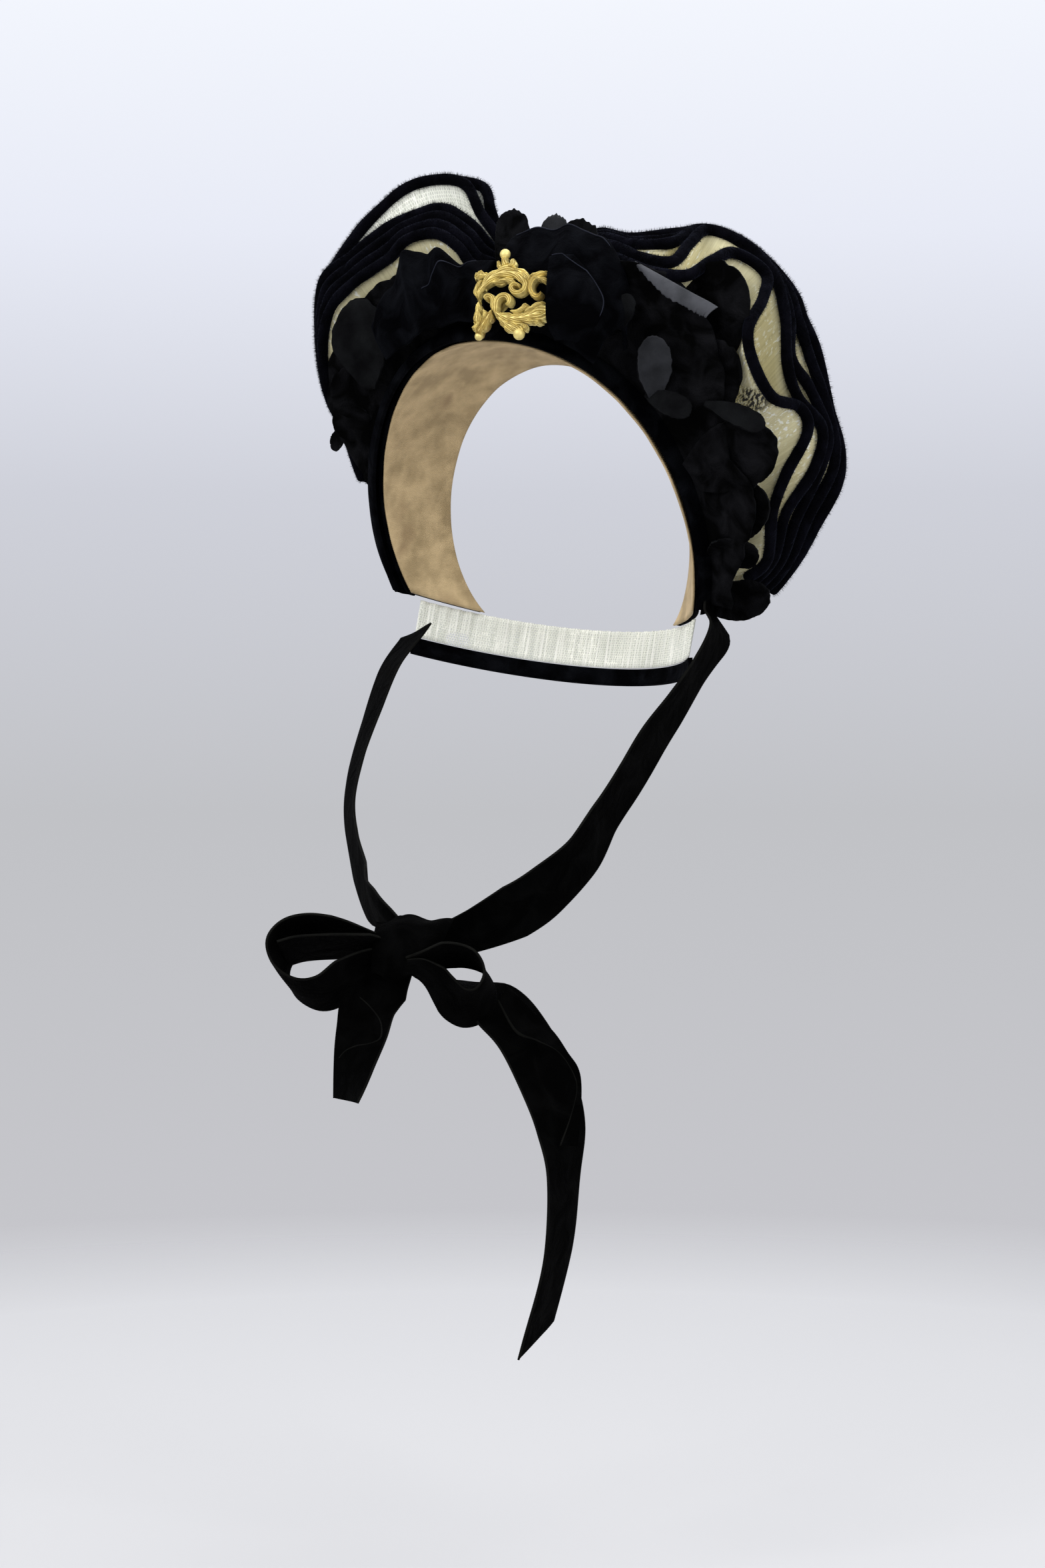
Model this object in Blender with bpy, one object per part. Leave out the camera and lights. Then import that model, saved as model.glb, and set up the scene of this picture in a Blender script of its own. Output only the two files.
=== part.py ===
"""Half bonnet of black velvet, with fans of net ruffles edged by velvet rolls, and a ribbon tied in a bow.

Metres, +Z up. The wearer looks along -Y and has +X on the left hand. The origin is on the lining at
the top of the head hollow, where the bonnet sits on a head. Sizes and tables are in millimetres and
degrees, and MM turns them to metres.
"""
import math

import bmesh
import bpy
from mathutils import Vector

MM = 0.001
GAP = 0.3

# The bonnet is worn tipped back and a little to the left
TILT_BACK = 10.0
TILT_LEFT = 5.0

# Crown form: half an egg round the head's front-to-back axis, cut by a plane from brow to nape
CROWN_SIDE = -5.0
CROWN_RISE = 2.0
CROWN_HALF_WIDTH = 84.0
CROWN_HALF_LENGTH = 98.0
CROWN_HALF_HEIGHT = 111.0
BROW_DEPTH = -45.0
EAR_DEPTH = 50.0
TOP_RUN = 65.0
EAR_RUN = 30.0
CROWN_END = 88.0
CROWN_WALL = 1.8
LINING_WALL = 1.0
LINING_GAP = 0.9
SEAT_SHARE = 0.5

# Draped headband, as shares of the crown's run and heights above it
BAND_WALL = 2.0
BAND_SECTION = [
    # share, ahead, lift
    (0.00, 5.0, 1.2),
    (0.00, 2.5, 5.0),
    (0.06, 0.0, 7.5),
    (0.13, 0.0, 6.4),
    (0.20, 0.0, 3.4),
]

# Ruffles: a strip of net from the crown to a velvet roll
ROLL_RADIUS = 2.5
NET_WALL = 1.0
NET_LIFT = CROWN_WALL + 0.8
NET_STAND = 0.35
NET_FOLLOWS = 0.6
NET_CLEAR = 2 * GAP
FIRST_BASE = 0.31
BASE_STEP = 0.12
BASE_START = 3.0
RIGHT_END = 80.0
LEFT_END = -64.0

# One row for each turn of a roll. Angle runs round the head from the top, towards the wearer's left;
# reach is from the axis of the crown form, and depth is towards the back.
FOLDS_RIGHT_1 = [
    # angle, reach, depth
    (7, 124, -23), (14, 146, -26), (26, 148, -36), (34, 155, -42), (34, 167, -32), (33, 176, -16),
    (37, 178, -6), (41, 170, -14), (46, 159, -30), (50, 152, -26), (54, 148, -8), (55, 153, 10),
    (58, 150, 18), (63, 134, 20), (69, 122, 24), (76, 111, 40), (79, 98, 45),
]
FOLDS_RIGHT_2 = [
    # angle, reach, depth
    (5, 127, -15), (11, 153, -16), (21, 153, -24), (28, 157, -30), (26, 169, -16), (25, 179, -4),
    (30, 182, 0), (36, 180, 4), (42, 172, 2), (49, 160, 0), (53, 154, 12), (57, 154, 28),
    (62, 144, 32), (68, 125, 34), (75, 111, 47), (79, 98, 52),
]
FOLDS_RIGHT_3 = [
    # angle, reach, depth
    (4, 133, -7), (8, 158, -6), (16, 159, -12), (23, 165, -16), (22, 178, 4), (27, 183, 10),
    (34, 181, 12), (41, 172, 12), (47, 161, 10), (51, 159, 20), (57, 153, 38), (61, 143, 42),
    (68, 126, 44), (75, 111, 54), (79, 98, 59),
]

# These tables make several rolls: the last three columns are added for each further one
FOLDS_RIGHT_REAR = [
    # angle, reach, depth, more angle, more reach, more depth
    (3, 139, 1, -1, 5, 8), (6, 162, 3, -2, 4, 10), (13, 163, 2, -3, 4, 12), (19, 170, 4, -3, 4, 12),
    (21, 180, 14, -1, 3, 12), (27, 183, 20, 0, 1, 10), (36, 179, 21, 0, 0, 9), (41, 173, 20, -1, 1, 9),
    (47, 166, 22, -2, 3, 10), (53, 158, 38, -2, 0, 8), (60, 149, 48, 0, -1, 10), (67, 130, 51, 1, -1, 9),
    (75, 111, 61, -1, 1, 7), (79, 98, 66, 0, 1, 6),
]
FOLDS_LEFT_FRONT = [
    # angle, reach, depth, more angle, more reach, more depth
    (-2, 118, -29, -1, 5, 8), (-3, 131, -36, -1.7, 5.7, 9), (-7, 134, -42, -1, 7, 9),
    (-9, 141, -46, -1, 7.3, 9), (-14, 151, -44, -1, 8, 8.7), (-20, 153, -42, -1, 8, 8.3),
    (-24, 149, -40, -1, 9.7, 8.3), (-33, 150, -34, -0.3, 9.2, 7.7), (-39, 150, -28, -0.3, 9.7, 7.3),
    (-45, 144, -18, 0, 7.3, 6), (-51, 131, -6, 0.3, 7, 5.3), (-55, 119, 8, 0.3, 6.7, 5.3),
    (-62, 104, 20, 0.5, 1, 6),
]
FOLDS_LEFT_REAR = [
    # angle, reach, depth, more angle, more reach, more depth
    (-5, 139, 6, -1, 7, 9), (-9, 155, 0, -1, 6, 9), (-11, 165, -2, -1, 5, 10), (-13, 175, -4, 0, 5, 11),
    (-15, 190, -4, 1, 2, 11), (-19, 197, -4, 0, 3, 10), (-24, 199, -4, -1, 5, 10), (-30, 194, -3, -1, 6, 9),
    (-36, 188, 0, 0, 8, 9), (-42, 183, 5, 1, 8, 9), (-46, 175, 14, 0, 7, 10), (-51, 164, 28, 0, 7, 12),
    (-57, 130, 40, 0, 4, 8), (-60, 108, 44, 0, 2, 6),
]

# Bow at the centre front: each row is one rib of a lobe, from the brow over the top and down behind
LOBE_WALL = 2.0
LOBE_RIGHT = [
    # angle, low reach, low depth, swell reach, swell depth, top reach, top depth, back reach, back depth
    (3, 103, -55, 122, -60, 142, -50, 110.6, -41),
    (8, 103, -56, 124, -61, 148, -50, 110.6, -40),
    (14, 103, -56, 126, -61, 150, -49, 110.4, -36.5),
    (20, 103, -55, 126, -59, 149, -47, 110.2, -32),
    (27, 103, -51, 122, -55, 138, -46, 109.6, -26),
    (31, 103, -46, 114, -50, 122, -44, 109.2, -21.5),
]
LOBE_LEFT = [
    # angle, low reach, low depth, swell reach, swell depth, top reach, top depth, back reach, back depth
    (1, 103, -55, 118, -60, 130, -54, 110.8, -42),
    (-6, 103, -55, 119, -60, 130, -54, 110.6, -41),
    (-12, 103, -54, 121, -59, 137, -54, 110.5, -38),
    (-17, 103, -52, 121, -57, 139, -52, 110.4, -34.5),
    (-23, 103, -48, 118, -53, 132, -49, 110, -29.5),
    (-30, 103, -42, 112, -46, 120, -43, 109.4, -22.5),
]

# Ornament: strokes of the cast scrolls on their own plane, from their lower left corner
ORNAMENT_PLACE = (-1.2, -67.2, 93.2)
ORNAMENT_LEAN = -4.0
ORNAMENT_TURN = 0.0
ORNAMENT_SIDES = 6
SCROLLS = {
    # each point: across, up, radius
    "crest": [(13.5, 39.5, 2.0), (13.0, 36.5, 1.4), (14.5, 34.0, 1.8), (19.0, 32.0, 2.2), (22.5, 29.0, 2.2),
              (24.0, 25.0, 2.0), (22.0, 21.8, 1.8), (19.0, 22.5, 1.6), (18.6, 25.0, 1.3)],
    "arch": [(2.2, 17.5, 1.5), (4.0, 22.5, 2.2), (8.0, 27.5, 2.6), (12.0, 31.0, 2.6), (17.0, 32.5, 2.2)],
    "left_leaf": [(2.5, 30.5, 1.6), (5.5, 29.0, 2.2), (9.0, 28.0, 2.0)],
    "side_curl": [(32.0, 30.0, 1.6), (27.5, 29.0, 1.9), (25.0, 25.5, 1.9), (26.5, 20.5, 1.9),
                  (30.0, 19.5, 1.6), (30.6, 22.5, 1.3)],
    "lower_curl": [(14.5, 20.5, 1.6), (17.6, 17.8, 1.8), (15.2, 14.8, 1.7), (11.5, 18.6, 1.9), (9.5, 14.0, 2.1),
                   (12.5, 10.0, 2.3), (17.5, 9.0, 2.3), (24.0, 10.5, 2.5), (31.0, 12.5, 2.0)],
    "left_branch": [(1.8, 19.8, 1.5), (1.5, 13.0, 1.9), (3.0, 6.5, 1.8), (3.6, 1.8, 1.9)],
    "inner_branch": [(6.5, 18.0, 1.5), (6.0, 13.0, 1.9), (4.0, 7.0, 1.8)],
    "right_leaf": [(31.0, 17.5, 1.6), (26.5, 14.5, 2.1), (21.0, 10.5, 2.2)],
    "lower_branch": [(14.0, 9.5, 2.0), (17.0, 5.8, 1.9), (20.0, 2.2, 2.0)],
}

# Petals: velvet leaves that stand up between the headband and the first ruffle
PETAL_WALL = 1.2
PETAL_ROOT_WIDTH = 0.35
PETAL_WIDEST = 0.65
PETAL_TIP_WIDTH = 0.75
PETAL_CORNER = 0.28
PETALS = [
    # name, root angle, root reach, root depth, tip angle, tip reach, tip depth, width, faces, cup, bulge
    ("petal_right_blade", 24.5, 141, -41.6, 43.6, 155, -47, 12, 20, 1, 1),
    ("petal_right_crest", 42.5, 104.6, -4, 41.5, 168, -37, 24, 10, 1, 2),
    ("petal_right_back", 36, 109, -14, 33, 141, -39, 24, 15, 1, 1),
    ("petal_right_dark", 49.5, 103.4, 4, 44.5, 144, -30, 18, 15, 1, 3),
    ("petal_right_silk_top", 33.5, 107.5, -21, 33.5, 137.5, -46, 9, 20, 1, 1),
    ("petal_right_silk_wide", 41, 106, -13, 36.5, 128, -34, 18, 30, 2, 1),
    ("petal_right_silk_low", 46.5, 103, -7, 45.5, 123, -24, 12, 25, 1, 1),
    ("petal_right_leaf", 54, 101.5, 3, 56.5, 144.5, -16, 12, 45, 1, 1),
    ("petal_right_round", 57, 99, 13, 60, 138.5, -1, 23, 50, 2, 1),
    ("petal_right_low", 65, 95.6, 21, 68.5, 126, 7, 22, 50, 1, 1),
    ("petal_right_matt", 74, 90.5, 31, 76, 118, 20, 19, 60, 1, 1),
    ("petal_left_silk", -38, 108.5, -15, -35, 139, -30, 26, 0, 3, 1),
    ("petal_left_low", -45, 104.5, -6, -45.5, 121, -22, 16, -10, 1, 1),
    ("petal_left_crumpled", -51, 102.5, 3, -50.6, 116, -14, 11, -20, 1, 1),
    ("petal_left_fold", -17, 110.8, -30.5, -15, 140, -42, 12, 10, 1, 0),
    ("petal_top_left", 3.5, 111.3, -37.5, -4, 164.6, -23.5, 10, 25, 1, 0),
    ("petal_top_middle", 7.5, 110.9, -36.5, 3, 165.5, -21, 11, 25, 1, 0),
    ("petal_top_right", 11.5, 110.9, -34, 7.5, 163.5, -26, 11, 25, 1, 0),
    ("tab_right", 85.5, 75.2, 54.5, 84, 108, 53, 13, 60, 1, 1),
    ("tab_left", -56.3, 143.5, 39, -61.2, 141.5, 40, 11, -20, 1, 0),
]

# Low part behind the head: plain net with a velvet edge
NAPE_WALL = 1.0
NAPE_TOP = 3.4
NAPE_NET_FOOT = -14.0
NAPE_FOOT = -22.0
NAPE_EDGE_WALL = 2.5
NAPE_START = 33.0

# Ribbons, measured facing the bow: right, up and near are from the head's centre
BOW_FACES = 28.0
RIBBON_WIDTH = 27.0
RIBBON_WALL = 1.2
STRAP_RIGHT = [
    # right, up, near, turn
    (92.0, -12, -9, 62), (91, -22, -2, 66), (82.2, -37.1, 8, 70), (72.1, -52.5, 16, 66), (61.6, -67.4, 24, 61),
    (51.8, -83.3, 31, 60), (41.6, -99.3, 38, 60), (29.7, -114.6, 45, 57), (14.9, -127.6, 52, 45),
    (4.5, -137.6, 55, 35), (-12.3, -146.5, 56, 25), (-27, -152, 57, 20), (-38, -154, 57.5, 15),
]
STRAP_LEFT = [
    # right, up, near, turn
    (-44, -14, -79, -70), (-56, -32, -66, -72), (-64, -55, -54, -74), (-70, -78, -38, -76),
    (-71.5, -98, -20, -76), (-68, -117, 2, -76), (-61.5, -132, 30, -74), (-55.5, -139, 55, -60),
    (-51.8, -142.5, 65, -50),
]
TAIL_LONG = [
    # right, up, near, turn
    (-34.3, -166.6, 70, 30), (-17.6, -171, 68, 32), (-5.2, -178, 70, 36), (5.9, -190, 74, 38), (16.1, -209.8, 76, 34),
    (21.6, -227.8, 77, 42), (22.8, -248.3, 77, 60), (20.3, -280.9, 77, 64), (11.4, -316, 77, 66),
]
TAIL_SHORT = [
    # right, up, near, turn
    (-48, -165.9, 72, -35), (-56.5, -178, 73, -40), (-62, -193, 76, -42), (-67.5, -214, 77, -42),
]
LOOP_LEFT = [
    # right, up
    (-56.5, -148.5), (-66, -144.5), (-78, -143), (-89, -145.5), (-97.5, -151.5), (-100.5, -159),
    (-96, -166.5), (-86, -170.5), (-74, -170), (-64, -166), (-56.5, -160.5),
]
LOOP_RIGHT = [
    # right, up
    (-34.5, -154.5), (-23, -151), (-13, -154), (-7.5, -162), (-7.5, -171), (-12, -178.5),
    (-19, -181), (-26, -177.5), (-31, -171), (-35.5, -164),
]
LOOP_LEFT_ACROSS = (0.10, 0.88, -0.46)
LOOP_RIGHT_ACROSS = (0.30, 0.88, -0.38)
LOOP_NEAR = 76.0
LOOP_RIGHT_NEAR = 91.0
KNOT_CENTRE = (-42.7, -153.0, 74.0)
KNOT_HALF = (13.4, 16.0, 13.8)
KNOT_GATHER = 0.55
GATHER_RUN = 0.2

VELVET = ("black_velvet", (0.006, 0.006, 0.009), 0.85, 0.0)
RIBBON = ("black_velvet_ribbon", (0.008, 0.008, 0.010), 0.80, 0.0)
SILK = ("charcoal_silk", (0.045, 0.047, 0.050), 0.55, 0.0)
TAN_SILK = ("tan_silk", (0.32, 0.24, 0.14), 0.60, 0.0)
NET = ("cream_net", (0.62, 0.58, 0.42), 0.80, 0.0)
GILT = ("matt_gilt", (0.72, 0.55, 0.24), 0.45, 0.9)


def material(spec):
    """The material of that name, made once."""
    name, colour, roughness, metallic = spec
    found = bpy.data.materials.get(name)
    if found:
        return found
    made = bpy.data.materials.new(name)
    made.use_nodes = True
    shader = made.node_tree.nodes["Principled BSDF"]
    shader.inputs["Base Color"].default_value = (*colour, 1.0)
    shader.inputs["Roughness"].default_value = roughness
    shader.inputs["Metallic"].default_value = metallic
    return made


def place(name, data, spec, parent):
    """Puts a mesh or curve in the scene under its parent."""
    data.materials.append(material(spec))
    made = bpy.data.objects.new(name, data)
    bpy.context.scene.collection.objects.link(made)
    made.parent = parent
    return made


def empty(name, location, rotation):
    """A bare frame that carries other pieces."""
    made = bpy.data.objects.new(name, None)
    made.location = location
    made.rotation_euler = rotation
    bpy.context.scene.collection.objects.link(made)
    return made


def sheet(name, across, along, shape, wall, spec, parent):
    """A cloth wall: a flat grid whose points go where shape(u, v) says, then gets its thickness."""
    mesh = bpy.data.meshes.new(name)
    grid = bmesh.new()
    bmesh.ops.create_grid(grid, x_segments=across, y_segments=along, size=0.5)
    for vert in grid.verts:
        vert.co = shape(vert.co.x + 0.5, vert.co.y + 0.5)
    grid.to_mesh(mesh)
    grid.free()
    mesh.shade_smooth()
    made = place(name, mesh, spec, parent)
    solid = made.modifiers.new("wall", "SOLIDIFY")
    solid.thickness = wall * MM
    solid.offset = 0.0
    return made


def along_curve(rows, share):
    """A smooth curve through rows of numbers, read at a share of its length in rows."""
    last = len(rows) - 1
    spot = min(max(share, 0.0), 1.0) * last
    index = min(int(spot), last - 1)
    t = spot - index
    before = rows[index - 1] if index > 0 else [2 * a - b for a, b in zip(rows[0], rows[1])]
    after = rows[index + 2] if index + 2 <= last else [2 * a - b for a, b in zip(rows[last], rows[last - 1])]
    values = []
    for p, q, r, s in zip(before, rows[index], rows[index + 1], after):
        values.append(0.5 * (2 * q + (r - p) * t + (2 * p - 5 * q + 4 * r - s) * t ** 2
                             + (3 * q - p - 3 * r + s) * t ** 3))
    return values


def evenly(points_at, count, fine=600):
    """Shares of a curve that divide its length into equal runs."""
    trail = [points_at(i / fine) for i in range(fine + 1)]
    lengths = [0.0]
    for a, b in zip(trail, trail[1:]):
        lengths.append(lengths[-1] + (b - a).length)
    shares = []
    index = 0
    for step in range(count + 1):
        goal = lengths[-1] * step / count
        while index < fine - 1 and lengths[index + 1] < goal:
            index += 1
        run = lengths[index + 1] - lengths[index]
        shares.append((index + (goal - lengths[index]) / run) / fine)
    return shares


def around(angle, reach, depth):
    """A point by its angle round the head, its reach from the crown's axis and its depth."""
    turn = math.radians(angle)
    return Vector((CROWN_SIDE + reach * math.sin(turn), depth, CROWN_RISE + reach * math.cos(turn))) * MM


def on_crown(angle, share, lift, ahead=0.0):
    """A point of the crown form: share runs from its front edge to its back edge."""
    turn = math.radians(angle)
    drop = 1.0 - math.cos(turn)
    run = TOP_RUN + (EAR_RUN - TOP_RUN) * drop
    depth = BROW_DEPTH + (EAR_DEPTH - BROW_DEPTH) * drop + share * run - ahead
    narrowing = math.sqrt(1.0 - (depth / CROWN_HALF_LENGTH) ** 2)
    return Vector((
        CROWN_SIDE + (CROWN_HALF_WIDTH * narrowing + lift) * math.sin(turn),
        depth,
        CROWN_RISE + (CROWN_HALF_HEIGHT * narrowing + lift) * math.cos(turn),
    )) * MM


def crown_angle(u):
    return CROWN_END * (2.0 * u - 1.0)


def make_crown(parent):
    """The stiff form and its lining, one just inside the other."""

    def form(u, v):
        return on_crown(crown_angle(u), v, CROWN_WALL / 2)

    def lining(u, v):
        return on_crown(crown_angle(u), v, -LINING_GAP - LINING_WALL / 2)

    def band(u, v):
        share, ahead, lift = along_curve(BAND_SECTION, v)
        return on_crown(crown_angle(u), share, lift, ahead)

    sheet("crown_form", 24, 5, form, CROWN_WALL, VELVET, parent)
    sheet("crown_lining", 24, 5, lining, LINING_WALL, TAN_SILK, parent)
    sheet("headband", 26, 4, band, BAND_WALL, VELVET, parent)


def fold_points(rows, count):
    """Shares and points that divide a roll's route into equal runs."""

    def route(share):
        return around(*along_curve(rows, share))

    shares = evenly(route, count)
    return shares, [route(share) for share in shares]


def make_roll(name, rows, count, parent):
    """A velvet-covered roll along the edge of a ruffle."""
    curve = bpy.data.curves.new(name, "CURVE")
    curve.dimensions = "3D"
    curve.bevel_depth = ROLL_RADIUS * MM
    curve.bevel_resolution = 1
    curve.use_fill_caps = True
    points = fold_points(rows, count)[1]
    spline = curve.splines.new("POLY")
    spline.points.add(len(points) - 1)
    for point, spot in zip(spline.points, points):
        point.co = (*spot, 1.0)
    spline.use_smooth = True
    place(name, curve, VELVET, parent)


def make_net(name, rows, count, end_angle, base_share, parent):
    """A strip of net: it stands up from the crown and bends out to its roll."""
    side = math.copysign(1.0, end_angle)
    shares, spots = fold_points(rows, count)
    clear = (ROLL_RADIUS + NET_CLEAR) * MM

    def strip(u, v):
        index = round(u * count)
        turn = math.radians(along_curve(rows, shares[index])[0])
        under = math.degrees(math.atan2(math.sin(turn) / CROWN_HALF_WIDTH, math.cos(turn) / CROWN_HALF_HEIGHT))
        even = side * (BASE_START + (abs(end_angle) - BASE_START) * u)
        angle = even + (under - even) * NET_FOLLOWS
        base = on_crown(angle, base_share, NET_LIFT)
        stand = (on_crown(angle, base_share, NET_LIFT + 1.0) - base).normalized()
        bend = base + stand * (spots[index] - base).length * NET_STAND
        run = (spots[min(index + 1, count)] - spots[max(index - 1, 0)]).normalized()
        inward = bend - spots[index]
        rim = spots[index] + (inward - run * inward.dot(run)).normalized() * clear
        return base.lerp(bend, v).lerp(bend.lerp(rim, v), v)

    sheet(name, count, 2, strip, NET_WALL, NET, parent)


def further(table, steps):
    """The folds of the roll that lies that many steps behind the table's own."""
    return [tuple(row[k] + steps * row[k + 3] for k in range(3)) for row in table]


def make_ruffles(parent):
    """All ruffles, front to back, on both sides."""
    right = [(FOLDS_RIGHT_1, 28), (FOLDS_RIGHT_2, 28), (FOLDS_RIGHT_3, 26)]
    right += [(further(FOLDS_RIGHT_REAR, step), 22) for step in range(2)]
    left = [(further(FOLDS_LEFT_FRONT, step), 20) for step in range(4)]
    left += [(further(FOLDS_LEFT_REAR, step), 20) for step in range(2)]
    for hand, end_angle, layers in (("right", RIGHT_END, right), ("left", LEFT_END, left)):
        for number, (rows, count) in enumerate(layers):
            base_share = FIRST_BASE + BASE_STEP * number
            make_roll(f"ruffle_roll_{hand}_{number + 1}", rows, count, parent)
            make_net(f"ruffle_net_{hand}_{number + 1}", rows, count, end_angle, base_share, parent)


def make_lobe(name, rows, parent):
    """One lobe of the bow: an arch of velvet over the front of the headband."""

    def arch(u, v):
        row = along_curve(rows, u)
        ribs = [(row[k], row[k + 1]) for k in (1, 3, 5, 7)]
        reach, depth = along_curve(ribs, v)
        return around(row[0], reach, depth)

    sheet(name, 7, 6, arch, LOBE_WALL, VELVET, parent)


def make_petal(name, root, tip, width, faces, cup, bulge, spec, parent):
    """A leaf from root to tip, wide in its outer half, hollowed across by cup and bowed along by bulge."""
    turn = math.radians(faces)
    facing = Vector((math.sin(turn), -math.cos(turn), 0.0))
    axis = tip - root
    side = axis.cross(facing).normalized()
    normal = side.cross(axis).normalized()

    def leaf(u, v):
        across = 2.0 * u - 1.0
        opening = math.sin(math.pi / 2 * min(1.0, v / PETAL_WIDEST))
        closing = max(0.0, v - PETAL_WIDEST) / (1.0 - PETAL_WIDEST)
        swell = PETAL_ROOT_WIDTH + (1.0 - PETAL_ROOT_WIDTH) * opening - (1.0 - PETAL_TIP_WIDTH) * closing ** 2
        length = v * (1.0 - PETAL_CORNER * across ** 2 * v ** 2)
        hollow = cup * across ** 2 * swell + bulge * 4.0 * v * (1.0 - v)
        return root + axis * length + side * (across * swell * width * MM / 2) + normal * (hollow * MM)

    sheet(name, 3, 4, leaf, PETAL_WALL, spec, parent)


def make_petals(parent):
    for name, *places, width, faces, cup, bulge in PETALS:
        spec = SILK if "silk" in name or "blade" in name or "leaf" in name else VELVET
        make_petal(name, around(*places[:3]), around(*places[3:]), width, faces, cup, bulge, spec, parent)


def make_nape(parent):
    """The low part: a net wall round the back of the head, and a velvet edge under it."""

    def wall(u, height, lift):
        turn = math.radians(NAPE_START + (180.0 - 2 * NAPE_START) * u)
        return Vector((
            CROWN_SIDE + (CROWN_HALF_WIDTH + lift) * math.cos(turn),
            (CROWN_HALF_LENGTH + lift) * math.sin(turn),
            height,
        )) * MM

    def net(u, v):
        return wall(u, NAPE_TOP + (NAPE_NET_FOOT - NAPE_TOP) * v, NAPE_WALL / 2)

    def edge(u, v):
        top = NAPE_NET_FOOT - GAP
        return wall(u, top + (NAPE_FOOT - top) * v, NAPE_EDGE_WALL / 2)

    sheet("nape_net", 16, 2, net, NAPE_WALL, NET, parent)
    sheet("nape_edge", 16, 1, edge, NAPE_EDGE_WALL, VELVET, parent)


def make_stroke(name, points, parent):
    """One tapered stroke of the cast scrolls, round-ended, as a guide for the join."""
    made = bmesh.new()
    rings = []
    for index, (across, up, radius) in enumerate(points):
        here = Vector((across, 0.0, up)) * MM
        ahead = Vector(points[min(index + 1, len(points) - 1)])
        behind = Vector(points[max(index - 1, 0)])
        run = Vector((ahead.x - behind.x, 0.0, ahead.y - behind.y)).normalized()
        side = Vector((run.z, 0.0, -run.x))
        ring = []
        for step in range(ORNAMENT_SIDES):
            turn = 2 * math.pi * (step + 0.5) / ORNAMENT_SIDES
            offset = side * math.cos(turn) + Vector((0.0, 1.0, 0.0)) * math.sin(turn)
            ring.append(made.verts.new(here + offset * radius * MM))
        rings.append(ring)
    for ring, following in zip(rings, rings[1:]):
        for step in range(ORNAMENT_SIDES):
            turn = (step + 1) % ORNAMENT_SIDES
            made.faces.new((ring[step], ring[turn], following[turn], following[step]))
    made.faces.new(reversed(rings[0]))
    made.faces.new(rings[-1])
    bmesh.ops.recalc_face_normals(made, faces=made.faces)
    mesh = bpy.data.meshes.new(name)
    made.to_mesh(mesh)
    made.free()
    stroke = place(name, mesh, GILT, parent)
    stroke.hide_render = True
    stroke.display_type = "WIRE"
    return stroke


def make_ornament(parent):
    """The gilt ornament: its strokes joined to one casting."""
    frame = empty("ornament_frame", Vector(ORNAMENT_PLACE) * MM,
                  (math.radians(ORNAMENT_LEAN), 0.0, math.radians(ORNAMENT_TURN)))
    frame.parent = parent
    strokes = {name: make_stroke(f"stroke_{name}", points, frame) for name, points in SCROLLS.items()}
    casting = place("ornament", strokes["arch"].data.copy(), GILT, frame)
    for name, stroke in strokes.items():
        if name != "arch":
            join = casting.modifiers.new(name, "BOOLEAN")
            join.operation = "UNION"
            join.object = stroke


def bow_point(right, up, near):
    return Vector((right, -near, up)) * MM


def ribbon(name, rows, count, parent, tied, across=None):
    """A ribbon along a route, gathered at its tied ends (0 start, 1 end). Without across, rows turn it."""

    def route(share):
        return bow_point(*along_curve(rows, share)[:3])

    shares = evenly(route, count)
    spots = [route(share) for share in shares]

    def strip(u, v):
        index = round(u * count)
        if across:
            width = Vector(across).normalized()
        else:
            run = spots[min(index + 1, count)] - spots[max(index - 1, 0)]
            side = run.cross(Vector((0.0, 1.0, 0.0))).normalized()
            depth = side.cross(run).normalized()
            turn = math.radians(along_curve(rows, shares[index])[3])
            width = side * math.cos(turn) + depth * math.sin(turn)
        near_knot = min([1.0] + [abs(u - end) / GATHER_RUN for end in tied])
        gathered = KNOT_GATHER + (1.0 - KNOT_GATHER) * near_knot
        return spots[index] + width * ((v - 0.5) * RIBBON_WIDTH * gathered * MM)

    sheet(name, count, 2, strip, RIBBON_WALL, RIBBON, parent)


def make_ribbons(parent):
    """The chin ribbon: two straps, and the bow with its knot, loops and tails."""
    ribbon("strap_right", STRAP_RIGHT, 20, parent, [1])
    ribbon("strap_left", STRAP_LEFT, 16, parent, [1])
    ribbon("ribbon_tail_long", TAIL_LONG, 14, parent, [0])
    ribbon("ribbon_tail_short", TAIL_SHORT, 6, parent, [0])
    loop_left = [(right, up, LOOP_NEAR) for right, up in LOOP_LEFT]
    ribbon("ribbon_loop_left", loop_left, 16, parent, [0, 1], LOOP_LEFT_ACROSS)
    loop_right = [(right, up, LOOP_RIGHT_NEAR) for right, up in LOOP_RIGHT]
    ribbon("ribbon_loop_right", loop_right, 16, parent, [0, 1], LOOP_RIGHT_ACROSS)

    knot = bmesh.new()
    bmesh.ops.create_uvsphere(knot, u_segments=12, v_segments=7, radius=1.0)
    for vert in knot.verts:
        vert.co = Vector([c * half * MM for c, half in zip(vert.co, KNOT_HALF)]) + bow_point(*KNOT_CENTRE)
    mesh = bpy.data.meshes.new("ribbon_knot")
    knot.to_mesh(mesh)
    knot.free()
    mesh.shade_smooth()
    place("ribbon_knot", mesh, RIBBON, parent)


for old in list(bpy.data.objects):
    bpy.data.objects.remove(old, do_unlink=True)

tilt = (math.radians(-TILT_BACK), math.radians(TILT_LEFT), 0.0)
bonnet_frame = empty("bonnet_frame", (0.0, 0.0, 0.0), tilt)
seat = on_crown(0.0, SEAT_SHARE, -LINING_GAP - LINING_WALL)
head_centre = -(bonnet_frame.rotation_euler.to_matrix() @ seat)
bonnet_frame.location = head_centre
ribbon_frame = empty("ribbon_frame", head_centre, (0.0, 0.0, math.radians(BOW_FACES)))

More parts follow.
